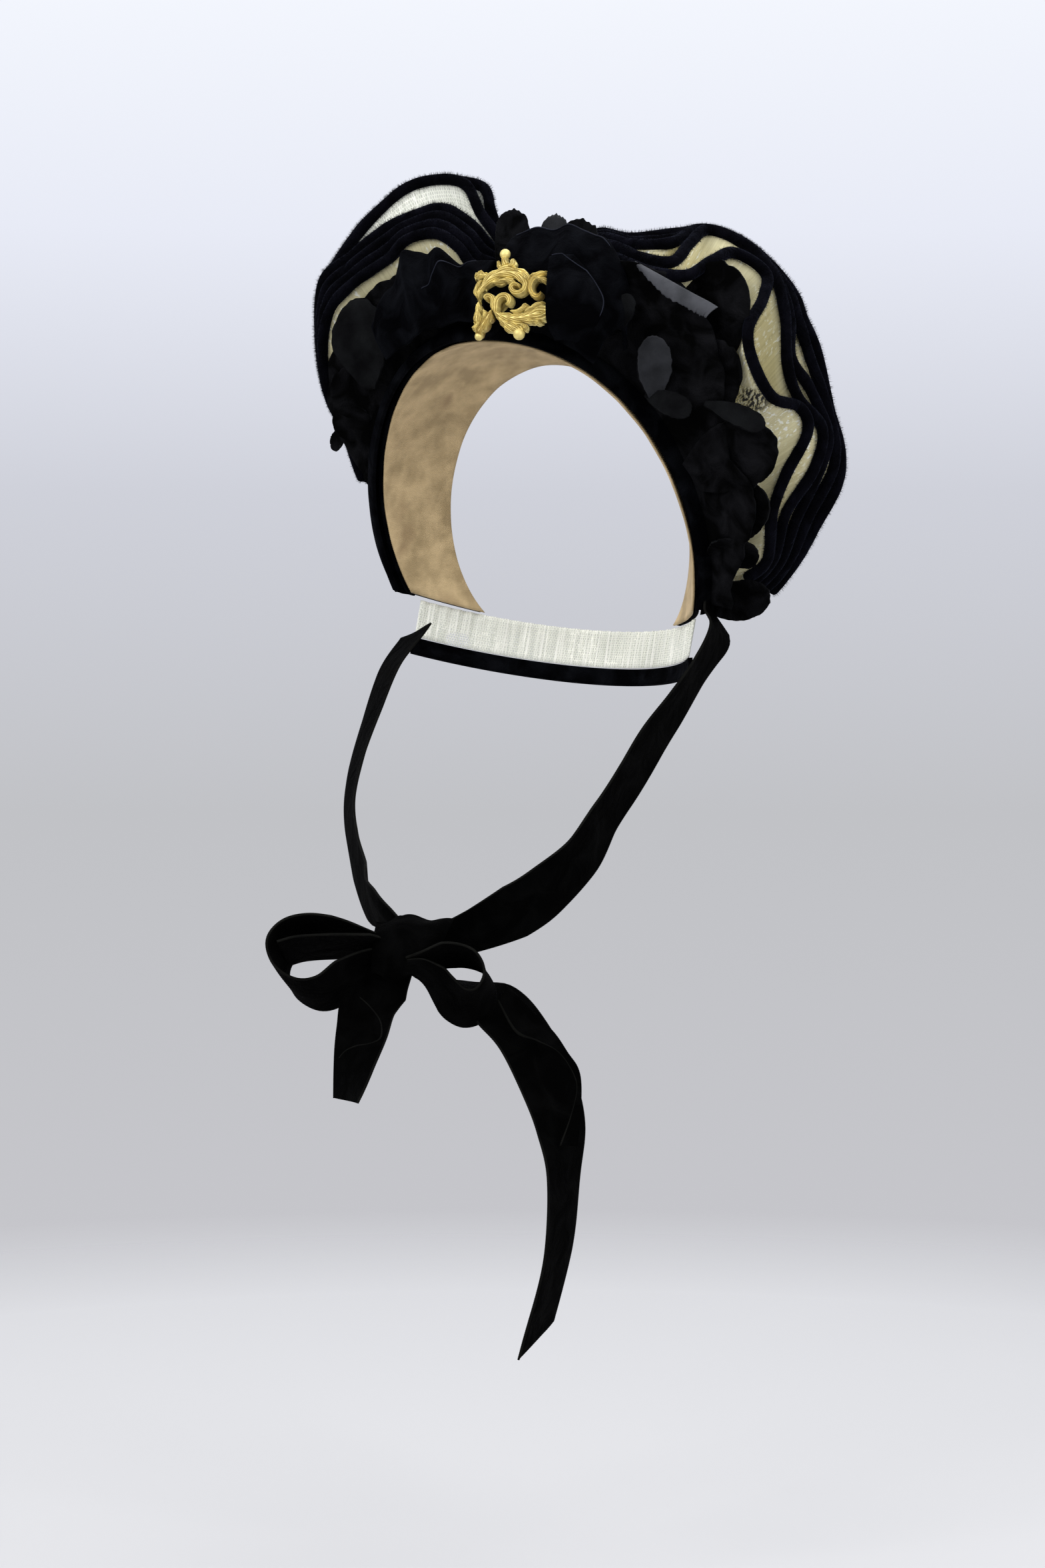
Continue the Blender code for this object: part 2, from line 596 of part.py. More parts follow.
make_crown(bonnet_frame)
make_ruffles(bonnet_frame)
make_lobe("bow_lobe_right", LOBE_RIGHT, bonnet_frame)
make_lobe("bow_lobe_left", LOBE_LEFT, bonnet_frame)
make_ornament(bonnet_frame)
make_petals(bonnet_frame)
make_nape(bonnet_frame)
make_ribbons(ribbon_frame)
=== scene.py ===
"""Half bonnet of black velvet with net ruffles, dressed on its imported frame. Metres, +Z up.

Shapes are told in mm and degrees, and MM turns them to metres. The studio's sizes, the cuts' flat sizes
and areas, and the patterns' scales are in metres."""
import math
import random

import bmesh
import bpy
from mathutils import Euler, Matrix, Vector, noise


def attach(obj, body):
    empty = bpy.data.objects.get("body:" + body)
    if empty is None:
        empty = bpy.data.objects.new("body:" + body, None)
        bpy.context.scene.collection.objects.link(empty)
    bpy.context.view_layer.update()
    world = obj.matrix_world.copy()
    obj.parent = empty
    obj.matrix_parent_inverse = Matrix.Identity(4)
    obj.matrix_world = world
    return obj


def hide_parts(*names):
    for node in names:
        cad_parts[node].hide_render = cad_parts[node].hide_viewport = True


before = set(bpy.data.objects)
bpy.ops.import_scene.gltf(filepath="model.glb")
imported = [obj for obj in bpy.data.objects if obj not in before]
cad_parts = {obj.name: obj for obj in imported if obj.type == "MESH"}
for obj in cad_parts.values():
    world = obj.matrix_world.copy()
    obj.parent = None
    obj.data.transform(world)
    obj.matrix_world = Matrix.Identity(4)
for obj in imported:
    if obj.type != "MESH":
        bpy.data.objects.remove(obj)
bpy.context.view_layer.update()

# Studio: the camera stands level, at the height of the chin ribbon, before a paper backdrop that is
# bluish white above and grey behind the ribbons. The floor is light grey, and three soft lights stand
# in front, at the side and above.
MM = 0.001
CAMERA_PLACE = (0.6106, -1.1520, -0.1963)
CAMERA_TURN = 28.0
CAMERA_LENS = 67.65
FLOOR_HEIGHT = -0.524
FLOOR_RADIUS = 1.1
FLOOR_FADES_FROM = 0.8
LIGHTS_AIM = Vector((0.0, 0.0, -0.05))


def linear(code):
    """An sRGB hex colour as the linear colour that shaders take."""
    parts = [int(code[i:i + 2], 16) / 255 for i in (1, 3, 5)]
    return [p / 12.92 if p <= 0.04045 else ((p + 0.055) / 1.055) ** 2.4 for p in parts] + [1.0]


def wire(node, sockets):
    """Sets sockets of a node to constants, or links them to outputs of other nodes."""
    for name, value in sockets.items():
        if isinstance(value, bpy.types.NodeSocket):
            node.id_data.links.new(value, node.inputs[name])
        else:
            node.inputs[name].default_value = value


def add(tree, kind, sockets=None, out=0, **settings):
    """Adds one shader node with its settings and links, and gives back the output asked for."""
    made = tree.nodes.new("ShaderNode" + kind)
    for name, value in settings.items():
        setattr(made, name, value)
    wire(made, sockets or {})
    return made.outputs[out]


def new_finish(name):
    """A new material, with its node tree and its shader."""
    made = bpy.data.materials.new(name)
    made.use_nodes = True
    return made, made.node_tree, made.node_tree.nodes["Principled BSDF"]


scene = bpy.context.scene
scene.view_settings.view_transform = "Standard"
camera_data = bpy.data.cameras.new("camera")
camera_data.lens = CAMERA_LENS
camera = bpy.data.objects.new("camera", camera_data)
camera.location = CAMERA_PLACE
camera.rotation_euler = (math.radians(90), 0.0, math.radians(CAMERA_TURN))
scene.collection.objects.link(camera)
scene.camera = camera

studio = bpy.data.worlds.new("studio")
studio.use_nodes = True
scene.world = studio
sky = studio.node_tree
height = add(sky, "SeparateXYZ", {0: add(sky, "TexCoord", out="Generated")}, out="Z")
shades = add(sky, "ValToRGB", {0: add(sky, "MapRange", {0: height, 1: -0.16, 2: 0.27})})
ramp = shades.node.color_ramp.elements
for spot, code in ((0.35, "#c1c2c6"), (0.6, "#cfd1da"), (0.8, "#e8ebf6")):
    ramp.new(spot).color = linear(code)
ramp[0].color = linear("#c6c6cb")
ramp[-1].color = linear("#f5f8ff")
wire(sky.nodes["Background"], {"Color": shades})

floor_mesh = bmesh.new()
bmesh.ops.create_circle(floor_mesh, cap_ends=True, radius=FLOOR_RADIUS, segments=96)
bmesh.ops.translate(floor_mesh, verts=floor_mesh.verts, vec=(0.0, 0.0, FLOOR_HEIGHT))
floor_data = bpy.data.meshes.new("floor")
floor_mesh.to_mesh(floor_data)
floor_mesh.free()
floor = bpy.data.objects.new("floor", floor_data)
scene.collection.objects.link(floor)
paper, paper_tree, paper_shader = new_finish("backdrop_paper")
paper_place = add(paper_tree, "TexCoord", out="Object")
paper_reach = add(paper_tree, "VectorMath", {0: paper_place}, out="Value", operation="LENGTH")
paper_fade = add(paper_tree, "MapRange",
                 {0: paper_reach, 1: FLOOR_RADIUS, 2: FLOOR_FADES_FROM, 3: 0.0, 4: 1.0})
wire(paper_shader, {"Base Color": linear("#c2c1c1"), "Roughness": 0.9, "Alpha": paper_fade})
floor_data.materials.append(paper)

for light_name, light_place, light_size, light_power in (
    ("key", (-0.55, -1.3, 0.75), 0.9, 14.0),
    ("fill", (1.1, -0.5, 0.35), 0.8, 7.0),
    ("top", (0.1, 0.3, 1.2), 0.9, 7.0),
):
    lamp_data = bpy.data.lights.new(light_name, "AREA")
    lamp_data.size = light_size
    lamp_data.energy = light_power
    lamp = bpy.data.objects.new(light_name, lamp_data)
    lamp.location = light_place
    lamp.rotation_mode = "QUATERNION"
    lamp.rotation_quaternion = (LIGHTS_AIM - lamp.location).to_track_quat("-Z", "Y")
    scene.collection.objects.link(lamp)

# Crown form: a stiff shell covered in black velvet, hidden under the ruffles. Inside it lies a
# lining of tan silk, old and a little stained, whose front edge shows under the arch of the band.
CROWN_SIDE = -5.0
CROWN_RISE = 2.0
CROWN_HALF_WIDTH = 84.0
CROWN_HALF_LENGTH = 98.0
CROWN_HALF_HEIGHT = 111.0
BROW_DEPTH = -45.0
EAR_DEPTH = 50.0
TOP_RUN = 65.0
EAR_RUN = 30.0
CROWN_END = 88.0
# The least side of a cut that a sheet may state, in metres
LEAST_FLAT = 0.01


def around(angle, reach, depth):
    """A point by its angle round the crown's axis, its reach from that axis and its depth, in mm."""
    turn = math.radians(angle)
    return Vector((CROWN_SIDE + reach * math.sin(turn), depth, CROWN_RISE + reach * math.cos(turn))) * MM


def on_crown(angle, share, lift, ahead=0.0):
    """A point of the crown form: share runs from its front edge to its back edge."""
    turn = math.radians(angle)
    drop = 1.0 - math.cos(turn)
    run = TOP_RUN + (EAR_RUN - TOP_RUN) * drop
    depth = BROW_DEPTH + (EAR_DEPTH - BROW_DEPTH) * drop + share * run - ahead
    narrowing = math.sqrt(1.0 - (depth / CROWN_HALF_LENGTH) ** 2)
    return Vector((
        CROWN_SIDE + (CROWN_HALF_WIDTH * narrowing + lift) * math.sin(turn),
        depth,
        CROWN_RISE + (CROWN_HALF_HEIGHT * narrowing + lift) * math.cos(turn),
    )) * MM


def along_curve(rows, share):
    """A smooth curve through rows of numbers, read at a share of its rows."""
    last = len(rows) - 1
    spot = min(max(share, 0.0), 1.0) * last
    index = min(int(spot), last - 1)
    t = spot - index
    before = rows[index - 1] if index > 0 else [2 * a - b for a, b in zip(rows[0], rows[1])]
    after = rows[index + 2] if index + 2 <= last else [2 * a - b for a, b in zip(rows[last], rows[last - 1])]
    return [
        0.5 * (2 * q + (r - p) * t + (2 * p - 5 * q + 4 * r - s) * t ** 2 + (3 * q - p - 3 * r + s) * t ** 3)
        for p, q, r, s in zip(before, rows[index], rows[index + 1], after)
    ]


def ripple(point, size, seed):
    """A soft random value near -1 to 1 that changes over that size in metres."""
    return noise.noise(point / size + Vector((seed * 7.1, seed * 3.7, seed * 5.3)))


def show(name, made, materials, nodes):
    """Turns a finished bmesh into a piece that rides on the body and stands for its CAD nodes."""
    mesh = bpy.data.meshes.new(name)
    made.to_mesh(mesh)
    made.free()
    mesh.shade_smooth()
    for finish in materials:
        mesh.materials.append(finish)
    piece = bpy.data.objects.new(name, mesh)
    scene.collection.objects.link(piece)
    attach(piece, "root")
    if nodes:
        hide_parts(*nodes)
    return piece


def cloth(name, across, along, shape, flat, wall, materials, slot, nodes, held, rests, back=0, **more):
    """A sheet of cloth: a flat grid with its cut's size in metres on its UV map, moved where shape says.

    Its wall is in mm. Held and rests are not used, and back is the material inside."""
    made = bmesh.new()
    cut = made.loops.layers.uv.new("cut")
    bmesh.ops.create_grid(made, x_segments=across, y_segments=along, size=0.5, calc_uvs=True)
    for face in made.faces:
        for loop in face.loops:
            loop[cut].uv = (loop[cut].uv[0] * flat[0], loop[cut].uv[1] * flat[1])
    for vert in made.verts:
        vert.co = shape(vert.co.x + 0.5, vert.co.y + 0.5)
    piece = show(name, made, materials, nodes)
    solid = piece.modifiers.new("wall", "SOLIDIFY")
    solid.thickness = wall * MM
    solid.offset = 0.0
    solid.material_offset = back
    solid.material_offset_rim = back
    tuple(max(LEAST_FLAT, side) for side in flat)
    return piece


def velvet(name, deep, worn, sheen, tint):
    """Silk velvet: its upright pile swallows light head on and shows a cool sheen at grazing angles."""
    made, tree, shader = new_finish(name)
    place = add(tree, "TexCoord", out="Object")
    # Crush marks about 12 mm wide, and pile tufts drawn at 0.7 mm so that they show
    crush = add(tree, "TexNoise", {"Vector": place, "Scale": 80.0, "Detail": 4.0, "Distortion": 0.6})
    worn_share = add(tree, "MapRange", {0: crush, 1: 0.42, 2: 0.72})
    colour = add(tree, "Mix", {0: worn_share, 6: linear(deep), 7: linear(worn)}, out=2, data_type="RGBA")
    pile = add(tree, "TexNoise", {"Vector": place, "Scale": 1400.0, "Detail": 2.0})
    tufts = add(tree, "Bump", {"Height": pile, "Strength": 0.6, "Distance": 0.0005})
    lie = add(tree, "Bump", {"Height": crush, "Normal": tufts, "Strength": 0.8, "Distance": 0.004})
    wire(shader, {
        "Base Color": colour, "Normal": lie, "Roughness": 0.9, "Specular IOR Level": 0.01,
        "Sheen Weight": sheen, "Sheen Roughness": 0.35, "Sheen Tint": linear(tint),
    })
    return made


def silk(name, dull, bright, stain, thread, gloss=0.35):
    """Plain-woven silk: a soft satin gloss, fine threads, and shallow creases."""
    made, tree, shader = new_finish(name)
    place = add(tree, "TexCoord", out="Object")
    cut = place.node.outputs["UV"]
    cloudy = add(tree, "TexNoise", {"Vector": place, "Scale": 90.0, "Detail": 5.0})
    spread = add(tree, "MapRange", {0: cloudy, 1: 0.35, 2: 0.65})
    colour = add(tree, "Mix", {0: spread, 6: linear(dull), 7: linear(bright)}, out=2, data_type="RGBA")
    marks = add(tree, "TexNoise", {"Vector": place, "Scale": 45.0, "Detail": 2.0})
    soiled = add(tree, "MapRange", {0: marks, 1: 0.6, 2: 0.72, 3: 0.0, 4: 0.7})
    aged = add(tree, "Mix", {0: soiled, 6: colour, 7: linear(stain)}, out=2, data_type="RGBA")
    # Threads are drawn at the given spacing in metres along the cut
    warp = add(tree, "TexWave", {"Vector": cut, "Scale": 0.31 / thread, "Distortion": 0.5}, out="Fac")
    creases = add(tree, "TexNoise", {"Vector": place, "Scale": 240.0, "Detail": 3.0})
    fine = add(tree, "Bump", {"Height": warp, "Strength": 0.25, "Distance": 0.0002})
    worn = add(tree, "Bump", {"Height": creases, "Normal": fine, "Strength": 0.35, "Distance": 0.0012})
    wire(shader, {"Base Color": aged, "Normal": worn, "Roughness": 0.55, "Specular IOR Level": gloss})
    return made


DRAPED_VELVET = velvet("draped_velvet", "#020203", "#0c0d10", 0.015, "#7c86ac")
LINING_SILK = silk("lining_silk", "#a38d66", "#cbb286", "#7d6443", 0.0006)
TILT = Euler((math.radians(-10), math.radians(5), 0.0)).to_matrix()
SEAT = on_crown(0.0, 0.5, -1.9)
HEAD = -(TILT @ SEAT)
BONNET = Matrix.Translation(HEAD) @ TILT.to_4x4()


def form_shape(u, v):
    return BONNET @ on_crown(CROWN_END * (2 * u - 1), v, 0.9)


def lining_shape(u, v):
    point = BONNET @ on_crown(CROWN_END * (2 * u - 1), v, -1.4)
    return point + (point - HEAD).normalized() * 0.35 * MM * ripple(point, 0.012, 1)


cloth("form_shell", 96, 20, form_shape, (0.29, 0.055), 1.8, [DRAPED_VELVET], "black_velvet", ["crown_form"],
      "stretched", ["lining_silk_sheet"])
cloth("lining_silk_sheet", 140, 30, lining_shape, (0.285, 0.055), 1.0, [LINING_SILK], "tan_silk",
      ["crown_lining"], "stretched", ["form_shell"])

# Headband: a bias strip of black velvet draped over the front of the form, with soft folds along it.
# Its front edge is rolled under and its back edge runs below the petals and ruffles.
BAND_SECTION = [
    # share, ahead, lift
    (0.00, 4.6, 1.4),
    (0.00, 3.6, 4.2),
    (0.03, 1.4, 7.0),
    (0.09, 0.0, 7.4),
    (0.15, 0.0, 6.0),
    (0.20, 0.0, 3.4),
]


def band_shape(u, v):
    angle = CROWN_END * (2 * u - 1)
    share, ahead, lift = along_curve(BAND_SECTION, v)
    fold = 0.8 * math.sin(2 * math.pi * (2.2 * v + 0.9 * math.sin(5 * u)))
    spot = on_crown(angle, share, lift, ahead)
    lift += fold * math.sin(math.pi * v) + 0.9 * ripple(spot, 0.022, 2) * math.sin(math.pi * v)
    return BONNET @ on_crown(angle, share, lift, ahead)


cloth("velvet_band", 220, 24, band_shape, (0.32, 0.026), 1.6, [DRAPED_VELVET], "black_velvet", ["headband"],
      "draped", ["form_shell"])

# Ruffles: strips of cream silk net, gathered to the form at their foot. Each strip's outer edge is
# bound with a velvet roll 5 mm thick, a cotton cord covered in velvet with its pile outside. The
# strips stand one behind the other, and each roll is traced by the folds of its edge.
ROLL_RADIUS = 2.5
ROLL_SIDES = 14
NET_LIFT = 2.6
NET_STAND = 0.35
NET_FOLLOWS = 0.6
NET_CLEAR = 0.1
NET_EASE = 1.04
FIRST_BASE = 0.31
BASE_STEP = 0.12
BASE_START = 3.0
RIGHT_END = 80.0
LEFT_END = -64.0
FOLDS_RIGHT_1 = [
    # angle, reach, depth
    (7, 124, -23), (14, 146, -26), (26, 148, -36), (34, 155, -42), (34, 167, -32), (33, 176, -16),
    (37, 178, -6), (41, 170, -14), (46, 159, -30), (50, 152, -26), (54, 148, -8), (55, 153, 10),
    (58, 150, 18), (63, 134, 20), (69, 122, 24), (76, 111, 40), (79, 98, 45),
]
FOLDS_RIGHT_2 = [
    # angle, reach, depth
    (5, 127, -15), (11, 153, -16), (21, 153, -24), (28, 157, -30), (26, 169, -16), (25, 179, -4),
    (30, 182, 0), (36, 180, 4), (42, 172, 2), (49, 160, 0), (53, 154, 12), (57, 154, 28),
    (62, 144, 32), (68, 125, 34), (75, 111, 47), (79, 98, 52),
]
FOLDS_RIGHT_3 = [
    # angle, reach, depth
    (4, 133, -7), (8, 158, -6), (16, 159, -12), (23, 165, -16), (22, 178, 4), (27, 183, 10),
    (34, 181, 12), (41, 172, 12), (47, 161, 10), (51, 159, 20), (57, 153, 38), (61, 143, 42),
    (68, 126, 44), (75, 111, 54), (79, 98, 59),
]
FOLDS_RIGHT_REAR = [
    # angle, reach, depth, more angle, more reach, more depth
    (3, 139, 1, -1, 5, 8), (6, 162, 3, -2, 4, 10), (13, 163, 2, -3, 4, 12), (19, 170, 4, -3, 4, 12),
    (21, 180, 14, -1, 3, 12), (27, 183, 20, 0, 1, 10), (36, 179, 21, 0, 0, 9), (41, 173, 20, -1, 1, 9),
    (47, 166, 22, -2, 3, 10), (53, 158, 38, -2, 0, 8), (60, 149, 48, 0, -1, 10), (67, 130, 51, 1, -1, 9),
    (75, 111, 61, -1, 1, 7), (79, 98, 66, 0, 1, 6),
]
FOLDS_LEFT_FRONT = [
    # angle, reach, depth, more angle, more reach, more depth
    (-2, 118, -29, -1, 5, 8), (-3, 131, -36, -1.7, 5.7, 9), (-7, 134, -42, -1, 7, 9),
    (-9, 141, -46, -1, 7.3, 9), (-14, 151, -44, -1, 8, 8.7), (-20, 153, -42, -1, 8, 8.3),
    (-24, 149, -40, -1, 9.7, 8.3), (-33, 150, -34, -0.3, 9.2, 7.7), (-39, 150, -28, -0.3, 9.7, 7.3),
    (-45, 144, -18, 0, 7.3, 6), (-51, 131, -6, 0.3, 7, 5.3), (-55, 119, 8, 0.3, 6.7, 5.3),
    (-62, 104, 20, 0.5, 1, 6),
]
FOLDS_LEFT_REAR = [
    # angle, reach, depth, more angle, more reach, more depth
    (-5, 139, 6, -1, 7, 9), (-9, 155, 0, -1, 6, 9), (-11, 165, -2, -1, 5, 10), (-13, 175, -4, 0, 5, 11),
    (-15, 190, -4, 1, 2, 11), (-19, 197, -4, 0, 3, 10), (-24, 199, -4, -1, 5, 10), (-30, 194, -3, -1, 6, 9),
    (-36, 188, 0, 0, 8, 9), (-42, 183, 5, 1, 8, 9), (-46, 175, 14, 0, 7, 10), (-51, 164, 28, 0, 7, 12),
    (-57, 130, 40, 0, 4, 8), (-60, 108, 44, 0, 2, 6),
]
NET_STEPS = 336
NET_ROWS = 14
GATHERS = 42
GATHER_HEIGHT = 0.35
SLACK_HEIGHT = 0.6
PILE_PER_ROLL = 9000
PILE_LEAN = 0.35
PILE_HALF_WIDTH = 0.07
PILE_FRONT = 1.4
PILE_REAR = 1.9
SPLIT_PLACE = BONNET @ around(52.6, 140.3, -8.0)


def further(table, steps):
    """The folds of the roll that lies that many steps behind the table's own."""
    return [tuple(row[k] + steps * row[k + 3] for k in range(3)) for row in table]


def evenly(points_at, count, fine=900):
    """Shares of a curve that divide its length into equal runs."""
    trail = [points_at(i / fine) for i in range(fine + 1)]
    lengths = [0.0]
    for a, b in zip(trail, trail[1:]):
        lengths.append(lengths[-1] + (b - a).length)
    shares = []
    index = 0
    for step in range(count + 1):
        goal = lengths[-1] * step / count
        while index < fine - 1 and lengths[index + 1] < goal:
            index += 1
        run = lengths[index + 1] - lengths[index]
        shares.append((index + (goal - lengths[index]) / run) / fine)
    return shares, lengths[-1]


def rails(spots):
    """Along, side and up directions at every spot of a route, turning as little as they can."""
    sides = []
    side = Vector((0.3, 0.8, 0.5))
    for index in range(len(spots)):
        run = (spots[min(index + 1, len(spots) - 1)] - spots[max(index - 1, 0)]).normalized()
        side = (side - run * side.dot(run)).normalized()
        sides.append((run, side, run.cross(side)))
    return sides


def net(name, thread, ground, open_share):
    """Hexagonal silk net: fine threads round cells about a millimetre wide, crossed by straight gathers."""
    made, tree, shader = new_finish(name)
    place = add(tree, "TexCoord", out="Object")
    cut = place.node.outputs["UV"]
    # Cells 1.3 mm across, a little coarser than the real ones so that they show. Their centres lie on
    # two upright grids, the second half a step across and up from the first.
    cells = add(tree, "VectorMath", {0: cut, 1: (770.0, 770.0, 0.0)}, operation="MULTIPLY")
    whole = (1.0, 1.732, 1.0)
    half = (0.5, 0.866, 0.0)
    grids = []
    for grid in (cells, add(tree, "VectorMath", {0: cells, 1: half}, operation="ADD")):
        spot = add(tree, "VectorMath", {0: grid, 1: whole}, operation="MODULO")
        grids.append(add(tree, "VectorMath", {0: spot, 1: half}, operation="SUBTRACT"))
    reach = [add(tree, "VectorMath", {0: grid}, out="Value", operation="LENGTH") for grid in grids]
    nearer = add(tree, "Math", {0: reach[0], 1: reach[1]}, operation="LESS_THAN")
    cell = add(tree, "Mix", {0: nearer, 4: grids[1], 5: grids[0]}, out=1, data_type="VECTOR")
    folded = add(tree, "VectorMath", {0: cell}, operation="ABSOLUTE")
    slant = add(tree, "VectorMath", {0: folded, 1: half}, out="Value", operation="DOT_PRODUCT")
    level = add(tree, "SeparateXYZ", {0: folded}, out="X")
    rim = add(tree, "Math", {0: slant, 1: level}, operation="MAXIMUM")
    threads = add(tree, "MapRange", {0: rim, 1: 0.34, 2: 0.42})
    # Silk threads under the net run straight from foot to edge, about 0.9 mm apart
    stripes = add(tree, "Mapping", {"Vector": cut, "Scale": (1100.0, 30.0, 1.0)})
    straight = add(tree, "TexNoise", {"Vector": stripes, "Scale": 1.0, "Detail": 2.0})
    streak = add(tree, "MapRange", {0: straight, 1: 0.35, 2: 0.65})
    wide = add(tree, "TexNoise", {"Vector": place, "Scale": 60.0, "Detail": 3.0})
    # Where the silk under the net has split, only the net's own threads are left
    split = add(tree, "TexNoise", {"Vector": place, "Scale": 42.0, "Detail": 2.0})
    away = add(tree, "VectorMath", {0: place, 1: SPLIT_PLACE}, out="Value", operation="DISTANCE")
    closeness = add(tree, "MapRange", {0: away, 1: 0.006, 2: 0.012, 3: 0.26, 4: 0.0})
    tear = add(tree, "Math", {0: split, 1: closeness}, operation="ADD")
    bare = add(tree, "MapRange", {0: tear, 1: 0.66, 2: 0.70, 3: open_share, 4: 0.15 * open_share})
    filled = add(tree, "MapRange", {0: tear, 1: 0.66, 2: 0.70, 3: 1.0, 4: 0.0})
    backing = add(tree, "Math", {0: streak, 1: filled}, operation="MULTIPLY")
    cover = add(tree, "Math", {0: threads, 1: backing}, operation="MAXIMUM")
    seen = add(tree, "MapRange", {0: cover, 3: bare, 4: 1.0})
    shaded = add(tree, "Mix", {0: streak, 6: linear(ground), 7: linear(thread)}, out=2, data_type="RGBA")
    cloudy = add(tree, "MapRange", {0: wide, 1: 0.3, 2: 0.7, 3: 0.9, 4: 1.0})
    # Painted highlights: pale flecks about 1.5 mm wide, standing for glints of light on the net's glossy
    # threads
    dots = add(tree, "TexNoise", {"Vector": cut, "Scale": 620.0, "Detail": 1.0})
    fleck = add(tree, "MapRange", {0: dots, 1: 0.56, 2: 0.64})
    glint_clusters = add(tree, "MapRange", {0: wide, 1: 0.44, 2: 0.58})
    painted_glints = add(tree, "Math", {0: fleck, 1: glint_clusters}, operation="MULTIPLY")
    glinted = add(tree, "Mix", {0: painted_glints, 6: shaded, 7: linear("#fffff2")}, out=2, data_type="RGBA")
    # Painted shade: where the silk has split, the open cells of the patch are coloured dark and made opaque,
    # standing for the shaded space behind the net
    patch = add(tree, "MapRange", {0: away, 1: 0.0050, 2: 0.0080, 3: 1.0, 4: 0.0})
    hole = add(tree, "MapRange", {0: dots, 1: 0.46, 2: 0.52, 3: 1.0, 4: 0.0})
    dark = add(tree, "Math", {0: patch, 1: hole}, operation="MULTIPLY")
    painted_shade_colour = add(tree, "Mix", {0: dark, 6: glinted, 7: linear("#1a1814")}, out=2, data_type="RGBA")
    opaque = add(tree, "Math", {0: seen, 1: dark}, operation="MAXIMUM")
    colour = add(tree, "VectorMath", {0: painted_shade_colour, 1: cloudy}, operation="MULTIPLY")
    relief = add(tree, "Bump", {"Height": cover, "Strength": 0.3, "Distance": 0.0003})
    wire(shader, {
        "Base Color": colour, "Alpha": opaque, "Normal": relief, "Roughness": 0.6, "Sheen Weight": 0.25,
    })
    return made


ROLL_VELVET = velvet("roll_velvet", "#040406", "#0b0b11", 0.06, "#98a2cc")
NET_DENSE = net("net_over_silk", "#e8e0b4", "#dbd2a2", 0.93)
NET_SHEER = net("net_single", "#f4f4ea", "#dfe2d2", 0.30)


def tube(spots, turns, sides, girth):
    """A closed tube along a route, as wide at each spot and angle as girth says."""
    made = bmesh.new()
    bmesh.ops.create_grid(made, x_segments=len(spots) - 1, y_segments=sides, size=0.5)
    for vert in made.verts:
        index = round((vert.co.x + 0.5) * (len(spots) - 1))
        angle = 2 * math.pi * (vert.co.y + 0.5)
        run, side, up = turns[index]
        vert.co = spots[index] + (side * math.cos(angle) + up * math.sin(angle)) * girth(index, angle)
    bmesh.ops.remove_doubles(made, verts=made.verts, dist=0.00001)
    bmesh.ops.recalc_face_normals(made, faces=made.faces)
    return made


def make_roll(name, spots, node, seed, shag):
    """The velvet roll: a tube with closed round ends, and pile standing out; shag is its length in mm."""
    turns = rails(spots)
    count = len(spots) - 1
    length = sum((b - a).length for a, b in zip(spots, spots[1:]))
    rng = random.Random(seed)

    def girth(index, angle):
        swell = 1.0 + 0.06 * ripple(spots[index], 0.006, seed) + 0.03 * math.sin(2 * angle + 0.2 * index)
        end = min(index, count - index) / count * length / (ROLL_RADIUS * MM)
        return ROLL_RADIUS * MM * swell * math.sqrt(max(0.0, 1.0 - max(0.0, 1.0 - end) ** 2))

    made = tube(spots, turns, ROLL_SIDES, girth)
    for step in range(PILE_PER_ROLL):
        index = rng.randrange(1, count)
        angle = rng.uniform(0.0, 2 * math.pi)
        run, side, up = turns[index]
        out = side * math.cos(angle) + up * math.sin(angle)
        foot = spots[index].lerp(spots[index + 1], rng.random()) + out * girth(index, angle) * 0.97
        lean = run * rng.uniform(-PILE_LEAN, PILE_LEAN) + out.cross(run) * rng.uniform(-PILE_LEAN, PILE_LEAN)
        hair = (out + lean).normalized() * rng.uniform(0.5, 1.0) * shag * MM
        spread = run.lerp(out.cross(run), rng.random()).normalized() * PILE_HALF_WIDTH * MM
        corners = [made.verts.new(spot) for spot in (foot - spread, foot + spread, foot + hair)]
        made.faces.new(corners)
    return show(name, made, [ROLL_VELVET], [node])


